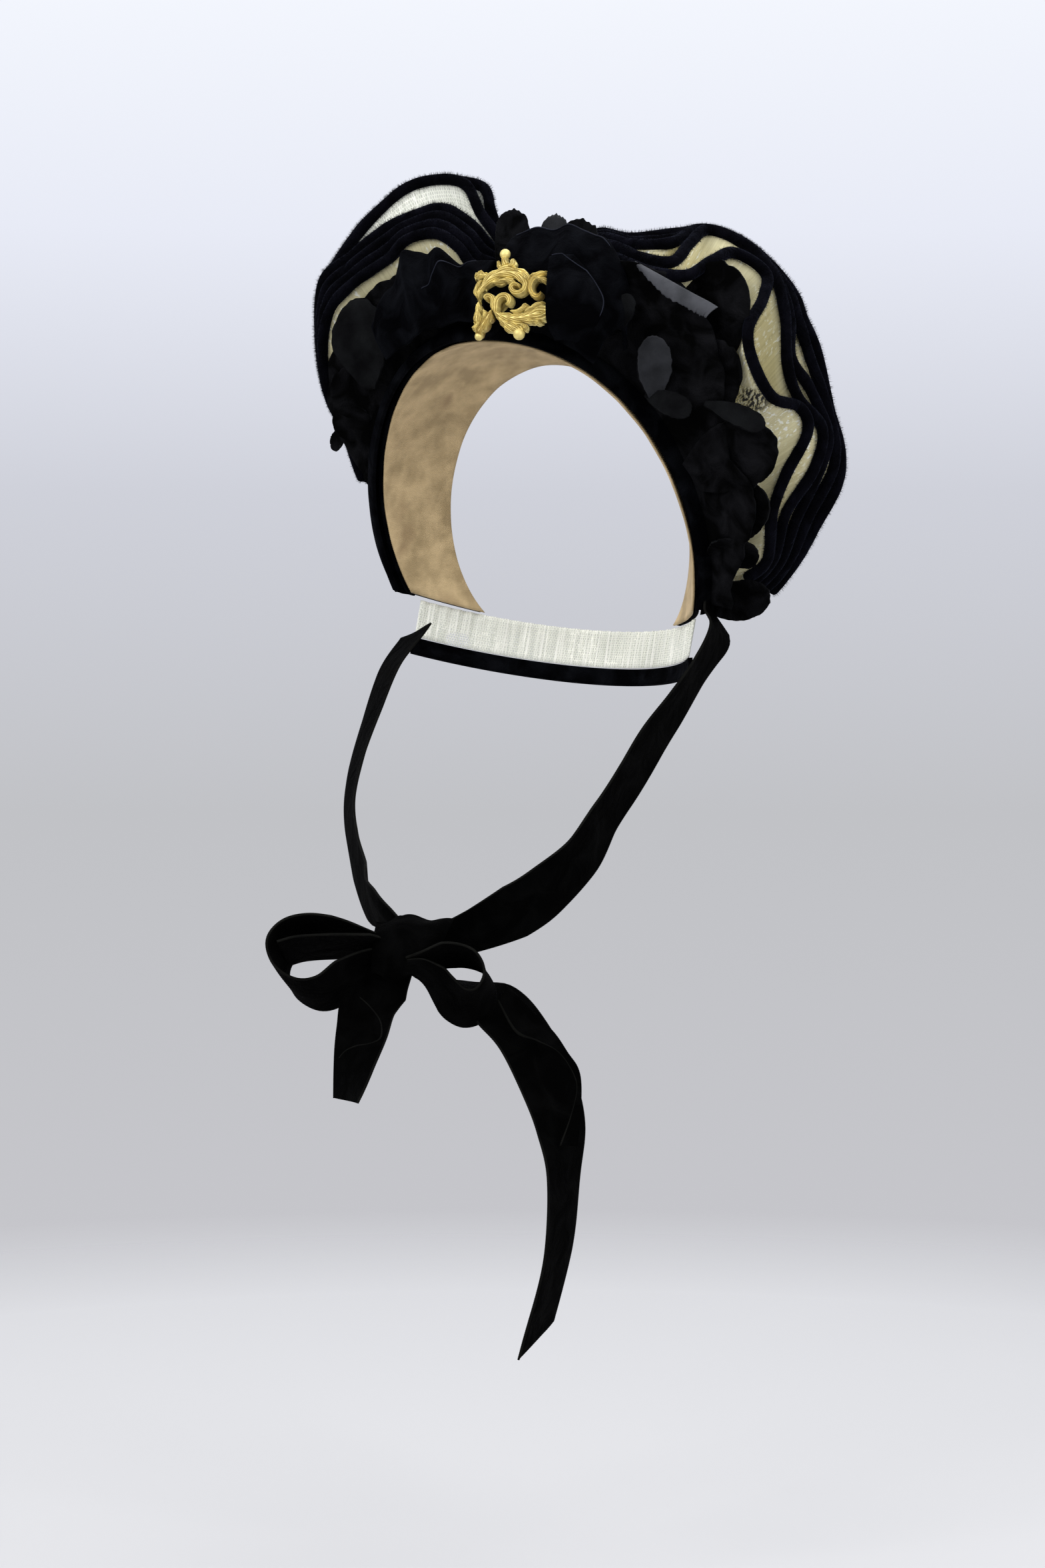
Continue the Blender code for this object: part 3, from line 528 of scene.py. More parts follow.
def make_net(name, rows, spots, shares, end_angle, base_share, finish, node, pieces):
    """The net strip: gathered at its foot, standing up from the form and bending out to its roll."""
    side = math.copysign(1.0, end_angle)
    count = len(spots) - 1
    clear = (ROLL_RADIUS + NET_CLEAR) * MM
    ribs = []
    for index in range(count + 1):
        turn = math.radians(along_curve(rows, shares[index])[0])
        under = math.atan2(math.sin(turn) / CROWN_HALF_WIDTH, math.cos(turn) / CROWN_HALF_HEIGHT)
        even = side * (BASE_START + (abs(end_angle) - BASE_START) * index / count)
        angle = even + (math.degrees(under) - even) * NET_FOLLOWS
        base = on_crown(angle, base_share, NET_LIFT)
        stand = (on_crown(angle, base_share, NET_LIFT + 1.0) - base).normalized()
        bend = base + stand * (spots[index] - base).length * NET_STAND
        run = (spots[min(index + 1, count)] - spots[max(index - 1, 0)]).normalized()
        inward = bend - spots[index]
        rim = spots[index] + (inward - run * inward.dot(run)).normalized() * clear
        ribs.append((base, bend, rim, run.cross(rim - base).normalized()))
    depth = sum((rim - base).length for base, bend, rim, out in ribs) / (count + 1) * NET_EASE
    length = sum((b - a).length for a, b in zip(spots, spots[1:]))
    foot = sum((b[0] - a[0]).length for a, b in zip(ribs, ribs[1:]))

    def strip(u, v):
        base, bend, rim, out = ribs[round(u * count)]
        spot = base.lerp(bend, v).lerp(bend.lerp(rim, v), v)
        uneven = 1.0 + 0.5 * noise.noise(Vector((u * 9.0, base_share * 40.0, 0.0)))
        gather = math.sin(2 * math.pi * GATHERS * (u + 0.012 * math.sin(17 * u + 4 * v)))
        slack = math.sin(math.pi * v) * noise.noise(Vector((u * 14.0, v * 2.0, base_share * 30.0)))
        height = GATHER_HEIGHT * gather * uneven * (1.0 - v) ** 2 + SLACK_HEIGHT * slack
        return BONNET @ (spot + out * height * MM)

    # The strip is cut on a curve: its foot is shorter than the edge that the roll binds
    cloth(name, NET_STEPS, NET_ROWS, strip, (length, depth), 0.5, [finish], "cream_net", [node],
          "gathered", ["form_shell"], with_pieces=pieces, area=0.5 * (length + foot) * depth)


RUFFLES_RIGHT = [FOLDS_RIGHT_1, FOLDS_RIGHT_2, FOLDS_RIGHT_3, further(FOLDS_RIGHT_REAR, 0),
                 further(FOLDS_RIGHT_REAR, 1)]
RUFFLES_LEFT = [further(FOLDS_LEFT_FRONT, step) for step in range(4)]
RUFFLES_LEFT += [further(FOLDS_LEFT_REAR, step) for step in range(2)]
for hand, end_angle, layers in (("right", RIGHT_END, RUFFLES_RIGHT), ("left", LEFT_END, RUFFLES_LEFT)):
    for number, rows in enumerate(layers):
        shares = evenly(lambda share: around(*along_curve(rows, share)), NET_STEPS)[0]
        spots = [around(*along_curve(rows, share)) for share in shares]
        roll = make_roll(f"roll_{hand}_{number + 1}", [BONNET @ spot for spot in spots],
                         f"ruffle_roll_{hand}_{number + 1}", number + (1 if hand == "right" else 11),
                         PILE_REAR if number > 2 else PILE_FRONT)
        # The rear ruffles of the left side look like single net, with no silk under it
        sheer = hand == "left" and number > 2
        make_net(f"net_{hand}_{number + 1}", rows, spots, shares, end_angle, FIRST_BASE + BASE_STEP * number,
                 NET_SHEER if sheer else NET_DENSE, f"ruffle_net_{hand}_{number + 1}", [roll])

# Bow at the centre front: two short loops of the same velvet, folded down over the band and caught
# in the middle. The selvedge of the ribbon shows as a fine paler line along each loop.
LOBE_RIGHT = [
    # angle, low reach, low depth, swell reach, swell depth, top reach, top depth, back reach, back depth
    (3, 103, -55, 122, -60, 142, -50, 110.6, -41),
    (8, 103, -56, 124, -61, 148, -50, 110.6, -40),
    (14, 103, -56, 126, -61, 150, -49, 110.4, -36.5),
    (20, 103, -55, 126, -59, 149, -47, 110.2, -32),
    (27, 103, -51, 122, -55, 138, -46, 109.6, -26),
    (31, 103, -46, 114, -50, 122, -44, 109.2, -21.5),
]
LOBE_LEFT = [
    # angle, low reach, low depth, swell reach, swell depth, top reach, top depth, back reach, back depth
    (1, 103, -55, 118, -60, 130, -54, 110.8, -42),
    (-6, 103, -55, 119, -60, 130, -54, 110.6, -41),
    (-12, 103, -54, 121, -59, 137, -54, 110.5, -38),
    (-17, 103, -52, 121, -57, 139, -52, 110.4, -34.5),
    (-23, 103, -48, 118, -53, 132, -49, 110, -29.5),
    (-30, 103, -42, 112, -46, 120, -43, 109.4, -22.5),
]
LOBE_FLAT = (0.062, 0.085)
LOBE_FOLDS = {
    # middle across the loop, width, height in mm, lean towards the brow
    "right": [
        (0.30, 0.07, -3.0, 0.25), (0.42, 0.05, 1.6, 0.25), (0.66, 0.06, 2.2, 0.30), (0.85, 0.07, -2.2, 0.1),
    ],
    "left": [
        (0.20, 0.05, -2.6, -0.30), (0.32, 0.05, 2.6, -0.25), (0.46, 0.05, -2.4, -0.18),
        (0.62, 0.045, 3.6, -0.1), (0.78, 0.06, -3.2, 0.0),
    ],
}
BUCKLE_FLAP = [
    # left edge angle, reach, depth, right edge angle, reach, depth
    (15.3, 132.6, -66.0, 18.0, 137.6, -60.5), (18.0, 122.4, -70.6, 24.9, 131.2, -60.0),
    (20.4, 113.5, -71.2, 28.8, 126.0, -59.6), (22.6, 106.4, -70.0, 30.0, 117.2, -59.5),
    (24.8, 102.2, -64.0, 28.0, 106.3, -58.5),
]


def lobe_point(rows, folds, u, v):
    """A point of a loop, with its deep folds fanning out from the middle of the bow."""
    row = along_curve(rows, u)
    ribs = [(row[k], row[k + 1]) for k in (1, 3, 5, 7)]
    reach, depth = along_curve(ribs, v)
    spot = around(row[0], reach, depth)
    push = 1.1 * ripple(spot, 0.016, 5) + 0.5 * ripple(spot, 0.007, 6)
    for middle, spread, height, lean in folds:
        push += height * math.exp(-(((u + lean * (v - 0.5) - middle) / spread) ** 2))
    push *= math.sin(math.pi * min(0.5, 0.1 + 1.1 * v)) * (1.0 if v < 0.75 else 4.0 * (1.0 - v))
    return BONNET @ around(row[0], reach + push * 0.5, depth - push)


def buckle_flap(u, v):
    """The narrow fold of velvet beside the ornament, with its edge turned over."""
    row = along_curve(BUCKLE_FLAP, v)
    near, far = around(*row[:3]), around(*row[3:])
    spot = near.lerp(far, u)
    bulge = 1.6 * math.sin(math.pi * u) + 0.5 * ripple(spot, 0.008, 8)
    return BONNET @ (spot - Vector((0.0, bulge * MM, 0.0)))


for hand, rows in (("right", LOBE_RIGHT), ("left", LOBE_LEFT)):
    cloth(f"bow_{hand}", 90, 90, lambda u, v: lobe_point(rows, LOBE_FOLDS[hand], u, v), LOBE_FLAT, 1.6,
          [DRAPED_VELVET], "black_velvet", [f"bow_lobe_{hand}"], "folded", ["velvet_band"])
cloth("bow_flap", 40, 60, buckle_flap, (0.022, 0.040), 1.6, [DRAPED_VELVET], "black_velvet", [],
      "folded", ["bow_right"])


def seam_cord(name, spots, radius, finish):
    """A fine raised edge laid along a fold: the selvedge of the velvet, seen from its side."""
    last = len(spots) - 1
    made = tube(spots, rails(spots), 6, lambda index, angle: 0.0 if index in (0, last) else radius * MM)
    show(name, made, [finish], [])


WORN_EDGE = silk("worn_velvet_edge", "#12131a", "#24262f", "#0b0b0e", 0.0006, 0.03)
EDGE_LIFT = Vector((0.0, -0.9, 0.6)) * MM
right_edge = [lobe_point(LOBE_RIGHT, LOBE_FOLDS["right"], 0.02 + 0.8 * i / 60, 0.62) for i in range(61)]
left_edge = [
    lobe_point(LOBE_LEFT, LOBE_FOLDS["left"], 0.10 + 0.40 * i / 40, 0.66 - 0.36 * i / 40) for i in range(41)
]
flap_edge = [
    buckle_flap(0.15 + 0.85 * min(1.0, 3.0 * i / 60), 0.9 * max(0.0, i - 12) / 48) for i in range(61)
]
for name, spots, radius in (("right", right_edge, 0.35), ("left", left_edge, 0.3), ("flap", flap_edge, 0.25)):
    seam_cord(f"bow_edge_{name}", [spot + EDGE_LIFT for spot in spots], radius, WORN_EDGE)

# Ornament: a cast brass buckle of acanthus scrolls, gilt and left matt, pierced between its scrolls.
# It is sewn to the middle of the bow; its balls and leaf edges are rubbed bright and also painted paler as a
# highlight, and its grooves are painted darker as shade.
ORNAMENT_PLACE = Vector((-1.2, -67.2, 93.2)) * MM
ORNAMENT_LEAN = Matrix.Rotation(math.radians(-4.0), 4, "X")
ORNAMENT = BONNET @ Matrix.Translation(ORNAMENT_PLACE) @ ORNAMENT_LEAN
STROKE_WEIGHT = 0.8
CASTING_BACK = 1.2
SCROLLS = [
    # points of across, up and half width in mm; leaf lobes along the stroke; height
    ([(1.1, 17.6, 0.9), (1.0, 20.4, 1.7), (2.6, 24.0, 2.9), (5.2, 27.3, 3.4), (8.9, 29.4, 3.6),
      (13.2, 29.9, 3.3), (17.5, 29.1, 2.8), (20.6, 26.9, 2.1), (21.9, 24.5, 1.6)], 9, 2.4),
    ([(20.6, 27.2, 1.7), (22.3, 24.5, 1.7), (22.1, 22.0, 1.6), (19.9, 20.7, 1.6), (17.1, 21.3, 1.5),
      (15.8, 23.1, 1.4), (16.8, 24.5, 1.2), (18.9, 24.2, 1.1), (19.7, 23.0, 0.8)], 0, 3.0),
    ([(13.3, 31.4, 0.7), (17.1, 30.8, 1.3), (20.8, 28.7, 1.5), (22.8, 26.3, 1.1)], 4, 2.7),
    ([(5.7, 24.9, 0.8), (8.8, 25.4, 1.3), (11.8, 26.3, 1.4), (15.0, 25.9, 1.1), (17.4, 24.9, 0.6)], 4, 2.8),
    ([(4.9, 28.5, 1.2), (2.6, 28.5, 2.1), (0.1, 28.7, 2.3), (-1.9, 28.4, 1.5)], 5, 2.2),
    ([(0.9, 26.5, 0.9), (-0.3, 24.8, 1.3), (-1.2, 22.6, 1.3), (-0.7, 20.3, 0.9), (0.8, 17.7, 0.7)], 4, 2.0),
    ([(9.2, 37.3, 1.7), (9.5, 35.4, 1.4), (10.7, 33.1, 2.2)], 0, 2.4),
    ([(9.7, 32.1, 0.9), (7.9, 33.0, 1.1), (6.7, 34.8, 0.7)], 2, 2.2),
    ([(12.2, 32.6, 1.1), (13.6, 33.6, 1.3), (13.5, 35.6, 0.8)], 2, 2.4),
    ([(31.4, 29.0, 1.3), (28.7, 28.8, 1.9), (26.3, 27.6, 2.1), (25.1, 25.4, 1.9), (25.1, 22.8, 1.8),
      (26.7, 20.3, 1.7), (28.8, 19.3, 1.5), (30.3, 20.1, 1.3), (30.1, 21.6, 0.9)], 0, 2.7),
    ([(25.8, 27.6, 1.0), (28.2, 27.4, 1.3), (31.1, 26.5, 1.1), (32.4, 25.4, 0.7)], 5, 2.6),
    ([(23.6, 28.3, 0.6), (25.9, 29.2, 1.1), (29.0, 29.8, 1.1), (31.3, 30.0, 0.7)], 5, 2.3),
    ([(5.5, 17.1, 1.0), (4.5, 18.6, 1.3), (5.9, 19.3, 1.4),
      (7.9, 18.3, 1.5), (8.7, 15.7, 1.7), (9.0, 12.8, 1.8)], 0, 2.9),
    ([(10.9, 11.0, 2.0), (10.2, 14.1, 2.0), (10.2, 16.9, 1.8), (11.7, 19.0, 1.7),
      (14.2, 19.4, 1.7), (16.1, 17.9, 1.6), (16.3, 16.0, 1.4), (14.7, 15.4, 1.0)], 0, 3.1),
    ([(9.6, 12.9, 1.5), (12.1, 11.0, 2.4), (16.0, 9.8, 2.7), (20.3, 9.3, 2.8),
      (24.5, 9.7, 3.1), (28.4, 10.8, 3.9), (32.1, 12.0, 4.4)], 10, 2.5),
    ([(17.5, 12.5, 0.8), (20.7, 12.2, 1.1), (23.1, 13.6, 1.6), (24.4, 15.0, 1.0)], 3, 2.8),
    ([(24.5, 11.7, 1.0), (27.3, 13.7, 1.5), (30.1, 15.3, 1.5), (32.7, 16.1, 0.8)], 5, 2.7),
    ([(26.3, 8.6, 1.0), (29.5, 8.2, 1.3), (32.7, 8.0, 0.9)], 4, 2.2),
    ([(12.2, 10.0, 1.5), (15.4, 7.6, 2.2), (19.0, 5.9, 2.4), (22.8, 4.4, 2.3)], 5, 2.2),
    ([(16.2, 6.3, 0.8), (17.1, 5.0, 1.0), (18.4, 4.1, 0.6)], 2, 1.9),
    ([(23.6, 6.5, 0.9), (25.4, 6.0, 1.1), (26.1, 4.7, 0.7)], 2, 1.9),
    ([(8.6, 13.3, 1.5), (7.9, 10.5, 2.2), (6.5, 7.3, 2.2), (5.0, 4.2, 1.8), (4.3, 1.8, 1.4)], 6, 2.3),
    ([(1.4, 16.9, 0.9), (1.7, 14.1, 1.8), (2.0, 11.3, 2.1), (2.3, 8.5, 1.7), (2.1, 7.4, 0.8)], 5, 2.2),
    ([(4.7, 13.2, 0.6), (5.6, 11.4, 1.2), (5.4, 9.0, 0.9)], 2, 2.4),
    ([(4.1, 7.5, 0.8), (2.7, 6.0, 1.6), (1.7, 4.4, 0.8)], 4, 1.9),
]
BALLS = [
    # across, up, radius in mm
    (8.9, 38.6, 2.3), (23.3, 2.7, 2.5), (4.2, 1.3, 1.8),
]


def gilding(name):
    """Matt fire gilding: warm yellow metal, rough, darker in the grooves with dirt and painted shade, and
    paler on the ridges with rubbing and painted highlight.
    """
    made, tree, shader = new_finish(name)
    place = add(tree, "TexCoord", out="Object")
    # Painted light and shade: pointiness colours the grooves dark, as dirt and painted shade, and the ridges
    # pale, as rubbed gilding and painted highlight
    hollow = add(tree, "NewGeometry", out="Pointiness")
    dirt_and_shade_mask = add(tree, "MapRange", {0: hollow, 1: 0.43, 2: 0.53})
    patches = add(tree, "TexNoise", {"Vector": place, "Scale": 350.0, "Detail": 4.0})
    clean_and_lit_share = add(tree, "Math", {0: dirt_and_shade_mask, 1: patches, 2: 0.15}, operation="MULTIPLY_ADD")
    colour = add(tree, "Mix", {0: clean_and_lit_share, 6: linear("#7f5f1c"), 7: linear("#ffee9a")}, out=2, data_type="RGBA")
    # Pits 0.5 mm wide, drawn coarser than the real ones so that they show. The metallic value is
    # matched to the dull gold of the photograph.
    grain = add(tree, "TexNoise", {"Vector": place, "Scale": 2200.0, "Detail": 3.0})
    pitted = add(tree, "Bump", {"Height": grain, "Strength": 0.35, "Distance": 0.0003})
    wire(shader, {"Base Color": colour, "Normal": pitted, "Metallic": 0.5, "Roughness": 0.5})
    return made


def scroll(made, points, lobes, height):
    """One stroke with a flat back. A leaf has a midrib, veins and lobed edges; a curl has long grooves."""
    steps = max(48, 12 * lobes)
    grid = bmesh.new()
    bmesh.ops.create_grid(grid, x_segments=36, y_segments=steps, size=0.5)
    for vert in grid.verts:
        across = 2.0 * vert.co.x
        edge = abs(across)
        v = vert.co.y + 0.5
        x, z, half = along_curve(points, v)
        ahead = along_curve(points, min(1.0, v + 0.01))
        behind = along_curve(points, max(0.0, v - 0.01))
        run = Vector((ahead[0] - behind[0], 0.0, ahead[1] - behind[1])).normalized()
        side = Vector((run.z, 0.0, -run.x))
        ends = min(1.0, 8.0 * v, 8.0 * (1.0 - v)) ** 0.5
        width = STROKE_WEIGHT * half * ends
        rise = height * (1.0 - 0.6 * edge ** 3) * (0.55 + 0.45 * ends)
        sweep = 0.0
        if lobes:
            leaf = abs(math.sin(math.pi * (0.5 * lobes * v + 0.25 * edge))) ** 0.7
            width *= 1.0 + 0.55 * (leaf - 0.62) * edge ** 1.5
            sweep = 1.1 * half * edge ** 2
            rise += 0.48 * math.cos(2 * math.pi * (2.6 * edge - 0.7 * lobes * v)) * min(1.0, 4.0 * edge)
            rise += 0.45 * math.exp(-((edge / 0.14) ** 2)) + 0.6 * (leaf - 0.6) * edge
        else:
            rise += 0.45 * math.cos(3.0 * math.pi * across)
        vert.co = (Vector((x, 0.0, z)) + side * across * width + run * sweep - Vector((0.0, rise, 0.0))) * MM
    rim = bmesh.ops.extrude_edge_only(grid, edges=[edge for edge in grid.edges if edge.is_boundary])
    low = [item for item in rim["geom"] if isinstance(item, bmesh.types.BMVert)]
    for vert in low:
        vert.co.y = CASTING_BACK * MM
    bmesh.ops.contextual_create(grid, geom=[edge for edge in grid.edges if edge.is_boundary])
    bmesh.ops.recalc_face_normals(grid, faces=grid.faces)
    stroke = bpy.data.meshes.new("stroke")
    grid.to_mesh(stroke)
    grid.free()
    made.from_mesh(stroke)
    bpy.data.meshes.remove(stroke)


casting = bmesh.new()
for points, lobes, height in SCROLLS:
    scroll(casting, points, lobes, height)
for x, z, radius in BALLS:
    spot = Matrix.Translation(Vector((x, -0.6, z)) * MM)
    bmesh.ops.create_uvsphere(casting, u_segments=20, v_segments=12, radius=radius * MM, matrix=spot)
bmesh.ops.transform(casting, matrix=ORNAMENT, verts=casting.verts)
show("gilt_buckle", casting, [gilding("fire_gilding")], ["ornament"])

# Petals: leaves cut from velvet, backed with charcoal silk, curled and a little crushed with age.
# They are sewn by their foot to the band and stand up against the first ruffle.
PETAL_ROOT_WIDTH = 0.45
SILK_ROOT_WIDTH = 0.2
PETAL_WIDEST = 0.62
PETAL_TIP_WIDTH = 0.85
PETAL_MEAN_WIDTH = 0.95
PETALS = [
    # name, root angle, root reach, root depth, tip angle, tip reach, tip depth, width, faces, cup, bulge
    ("petal_right_crest", 41, 104.6, -4, 38.6, 171.5, -38, 38, 10, 1, 2),
    ("petal_right_back", 36, 109, -14, 33, 146, -39, 30, 15, 1, 1),
    ("petal_right_dark", 49.5, 103.4, 4, 45.5, 148, -30, 28, 15, 1, 3),
    ("petal_right_silk_top", 30.3, 121, -43, 28.8, 135.3, -47.5, 9, 20, 1, 1),
    ("petal_right_silk_wide", 43.2, 107.5, -25, 36.5, 128, -40.5, 15, 30, 2, 1),
    ("petal_right_silk_low", 41, 107, -27.5, 51, 117.7, -24.5, 11, 25, 1, 1),
    ("petal_right_leaf", 50.6, 124.5, -23, 59.4, 141, -14, 10, 45, 1, 1),
    ("petal_right_round", 57.5, 99, 2, 61, 143, -11, 31, 50, 2, 1),
    ("petal_right_low", 65, 95.6, 21, 69, 127, 7, 27, 50, 1, 1),
    ("petal_right_matt", 74, 90.5, 31, 75, 112, 20, 23, 60, 1, 1),
    ("petal_left_silk", -40, 104.5, -26, -31.5, 137.5, -41, 28, 0, 3, 2),
    ("petal_left_low", -45, 104.5, -6, -45.5, 127, -20, 24, -10, 1, 1),
    ("petal_left_crumpled", -51, 102.5, 3, -50.6, 120, -12, 20, -20, 1, 1),
    ("petal_left_fold", -17, 110.8, -30.5, -13.5, 141, -44, 17, 10, 1, 0),
    ("petal_top_left", 3.5, 111.3, -37.5, -4, 164.5, -23.5, 16, 25, 1, 0),
    ("petal_top_middle", 7.5, 110.9, -36.5, 3.6, 163.0, -21, 12, 25, 1, 0),
    ("petal_top_right", 11.5, 110.9, -34, 9.6, 161, -26, 20, 25, 1, 0),
    ("tab_right", 84.5, 78, 53.5, 82.5, 109, 47, 18, 60, 2, 2),
    ("tab_left", -56.3, 143.5, 39, -61.2, 141.5, 40, 11, -20, 1, 0),
]
PETAL_VELVET = velvet("petal_velvet", "#030303", "#141416", 0.01, "#8a8fa6")
PETAL_SILK = silk("petal_silk", "#151618", "#27282b", "#0d0d0e", 0.0005, 0.06)
DARK_SILK = silk("dark_silk", "#060607", "#111213", "#030303", 0.0005, 0.02)
# Petals whose pale silk reverse is turned outward; on the others the velvet shows
SILK_FACED = {
    "petal_right_silk_top": DARK_SILK, "petal_right_silk_wide": PETAL_SILK, "petal_right_silk_low": DARK_SILK,
    "petal_right_leaf": DARK_SILK, "petal_left_silk": DARK_SILK, "petal_top_middle": PETAL_SILK,
}


def petal(name, root, tip, width, faces, cup, bulge, seed):
    """One leaf: narrow at its foot and wide beyond its middle, hollowed, bowed and crushed."""
    turn = math.radians(faces)
    facing = Vector((math.sin(turn), -math.cos(turn), 0.0))
    axis = tip - root
    silk_face = SILK_FACED.get(name)
    foot = SILK_ROOT_WIDTH if silk_face else PETAL_ROOT_WIDTH
    side = axis.cross(facing).normalized()
    normal = side.cross(axis).normalized()

    def leaf(u, v):
        across = 2.0 * u - 1.0
        opening = math.sin(math.pi / 2 * min(1.0, v / PETAL_WIDEST))
        closing = max(0.0, v - PETAL_WIDEST) / (1.0 - PETAL_WIDEST)
        swell = foot + (1.0 - foot) * opening - (1.0 - PETAL_TIP_WIDTH) * closing ** 2
        torn = 0.06 * noise.noise(Vector((v * 9.0, seed, across)))
        # The tip is rounded over about half the leaf's width, and a little ragged
        blunt = 1.0 - math.sqrt(1.0 - 0.95 * across ** 2)
        length = v - 0.5 * width * MM / axis.length * blunt * v ** 3
        length += 0.03 * v ** 3 * noise.noise(Vector((across * 4.0, seed * 2.0, 1.0)))
        hollow = cup * across ** 2 * swell + bulge * 4.0 * v * (1.0 - v)
        spot = root + axis * length + side * (across * (swell + torn) * width * MM / 2)
        crushed = 0.8 * ripple(spot, 0.009, seed) * min(1.0, 2.0 * v)
        return BONNET @ (spot + normal * (hollow + crushed) * MM)

    faces_in = [silk_face, PETAL_VELVET] if silk_face else [PETAL_VELVET, DARK_SILK]
    cloth(name + "_cloth", 26, 34, leaf, (width * MM * PETAL_MEAN_WIDTH, axis.length), 1.0, faces_in,
          "charcoal_silk" if silk_face else "black_velvet", [name], "hung", ["velvet_band"], back=1)


for seed, (name, *places, width, faces, cup, bulge) in enumerate(PETALS):
    petal(name, around(*places[:3]), around(*places[3:]), width, faces, cup, bulge, seed + 1.0)

# Silk blade: one long leaf cut from grey silk, laid across the top of the petals. How it is fixed
# isn't seen. It is blunt at its outer end, and its lower edge is a little frayed.
BLADE_FLAT = (0.048, 0.0075)
BLADE_AREA = 0.00030
BLADE_EDGES = [
    # upper edge angle, reach, depth, lower edge angle, reach, depth
    (25.8, 148.3, -45, 26.0, 147.2, -45), (29.8, 148.8, -46.5, 31.1, 144.6, -48),
    (34.0, 150.1, -46.5, 35.1, 143.7, -47.5), (38.0, 152.1, -46, 38.9, 146.0, -47),
    (41.1, 154.5, -45, 41.2, 147.5, -46), (42.7, 155.7, -44, 42.8, 149.4, -45),
]
BLADE_SILK = silk("blade_silk", "#2f3033", "#434448", "#242528", 0.0005, 0.08)


def blade_shape(u, v):
    row = along_curve(BLADE_EDGES, u)
    spot = around(*row[:3]).lerp(around(*row[3:]), v)
    torn = 0.9 * noise.noise(Vector((u * 26.0, 2.0, 0.0))) + 0.6 * noise.noise(Vector((u * 90.0, 4.0, 0.0)))
    return BONNET @ (spot + Vector((0.0, -0.8 * math.sin(math.pi * v) * MM, -torn * v ** 4 * MM)))


cloth("silk_blade", 80, 12, blade_shape, BLADE_FLAT, 0.5, [BLADE_SILK], "charcoal_silk",
      ["petal_right_blade"], "hung", ["velvet_mass_right"], area=BLADE_AREA)

# Velvet mass: torn and folded velvet sewn along the band, with the petals on and behind it.
# Its outer edge is cut in uneven scallops, and its surface is crushed in soft folds.
MASS_RIGHT = [
    # angle, reach, depth of the outer edge
    (3, 112, -50), (11, 116, -50), (20, 137, -50), (28, 149, -45), (34, 150, -40), (40, 148, -37),
    (45, 143, -32), (49, 137, -26), (53, 128, -18), (58, 121, -11), (63, 120, -5), (68, 123, 0),
    (73, 117, 8), (77, 108, 18), (82, 97, 32), (87, 91, 44),
]
MASS_LEFT = [
    # angle, reach, depth of the outer edge
    (-4, 112, -50), (-11, 118, -51), (-18, 136, -48), (-24, 136, -45), (-30, 138, -39), (-36, 142, -31),
    (-42, 137, -21), (-48, 133, -12), (-54, 121, -3), (-59, 104, 10), (-62, 96, 18),
]


def mass_shape(rows, seed):
    """The shape of one side's mass: from the band, forward and out to its scalloped edge."""

    def shape(u, v):
        angle, reach, depth = along_curve(rows, u)
        scallop = 2.2 * abs(math.sin(9.5 * math.pi * u + seed))
        scallop += 1.2 * noise.noise(Vector((u * 30.0, seed, 0.0)))
        outer = around(angle, reach + scallop * 0.8, depth)
        inner = on_crown(angle, 0.02, 7.2)
        spot = inner.lerp(outer, v)
        sway = 0.5 * noise.noise(Vector((u * 6.0, v * 2.0, seed)))
        folds = 2.4 * math.sin(2 * math.pi * (7.5 * u + 0.6 * v + sway))
        push = (2.6 * math.sin(math.pi * v) + folds * v * (1.2 - v) + 2.4 * ripple(spot, 0.013, seed)
                + 1.2 * ripple(spot, 0.006, seed + 1.0)) * min(1.0, 6.0 * v)
        return BONNET @ (spot + Vector((0.0, -push, 0.35 * push)) * MM)

    return shape


for hand, steps, rows, seed, flat in (
    ("right", 240, MASS_RIGHT, 3.0, (0.19, 0.034)),
    ("left", 160, MASS_LEFT, 7.0, (0.13, 0.034)),
):
    cloth(f"velvet_mass_{hand}", steps, 40, mass_shape(rows, seed), flat, 1.4, [PETAL_VELVET], "black_velvet",
          [], "gathered", ["velvet_band"])

# Nape part: a low strip of plain net round the back, from one side of the crown to the other, with a
# band of velvet sewn along its foot. The photograph hardly shows it, so it is kept plain.
NAPE_TOP = 3.4
NAPE_NET_FOOT = -14.0
NAPE_FOOT = -22.0
NAPE_START = 33.0


def nape_point(u, height, lift):
    """A point of the strip behind the crown, by its share of the way round and its height in mm."""
    turn = math.radians(NAPE_START + (180.0 - 2 * NAPE_START) * u)
    return BONNET @ (Vector((
        CROWN_SIDE + (CROWN_HALF_WIDTH + lift) * math.cos(turn),
        (CROWN_HALF_LENGTH + lift) * math.sin(turn),
        height,
    )) * MM)


def nape_net_shape(u, v):
    pucker = 0.5 * math.sin(2 * math.pi * 30 * u) * (1.0 - v)
    return nape_point(u, NAPE_TOP + (NAPE_NET_FOOT - NAPE_TOP) * v, 0.5 + pucker)


def nape_edge_shape(u, v):
    swell = 0.6 * math.sin(math.pi * v)
    return nape_point(u, NAPE_NET_FOOT - 0.3 + (NAPE_FOOT - NAPE_NET_FOOT + 0.3) * v, 1.25 + swell)


cloth("nape_net_strip", 260, 8, nape_net_shape, (0.185, 0.0175), 0.6, [NET_SHEER], "cream_net", ["nape_net"],
      "gathered", ["form_shell"])
cloth("nape_velvet_edge", 160, 8, nape_edge_shape, (0.185, 0.01), 2.0, [DRAPED_VELVET], "black_velvet",
      ["nape_edge"], "stretched", ["nape_net_strip"])

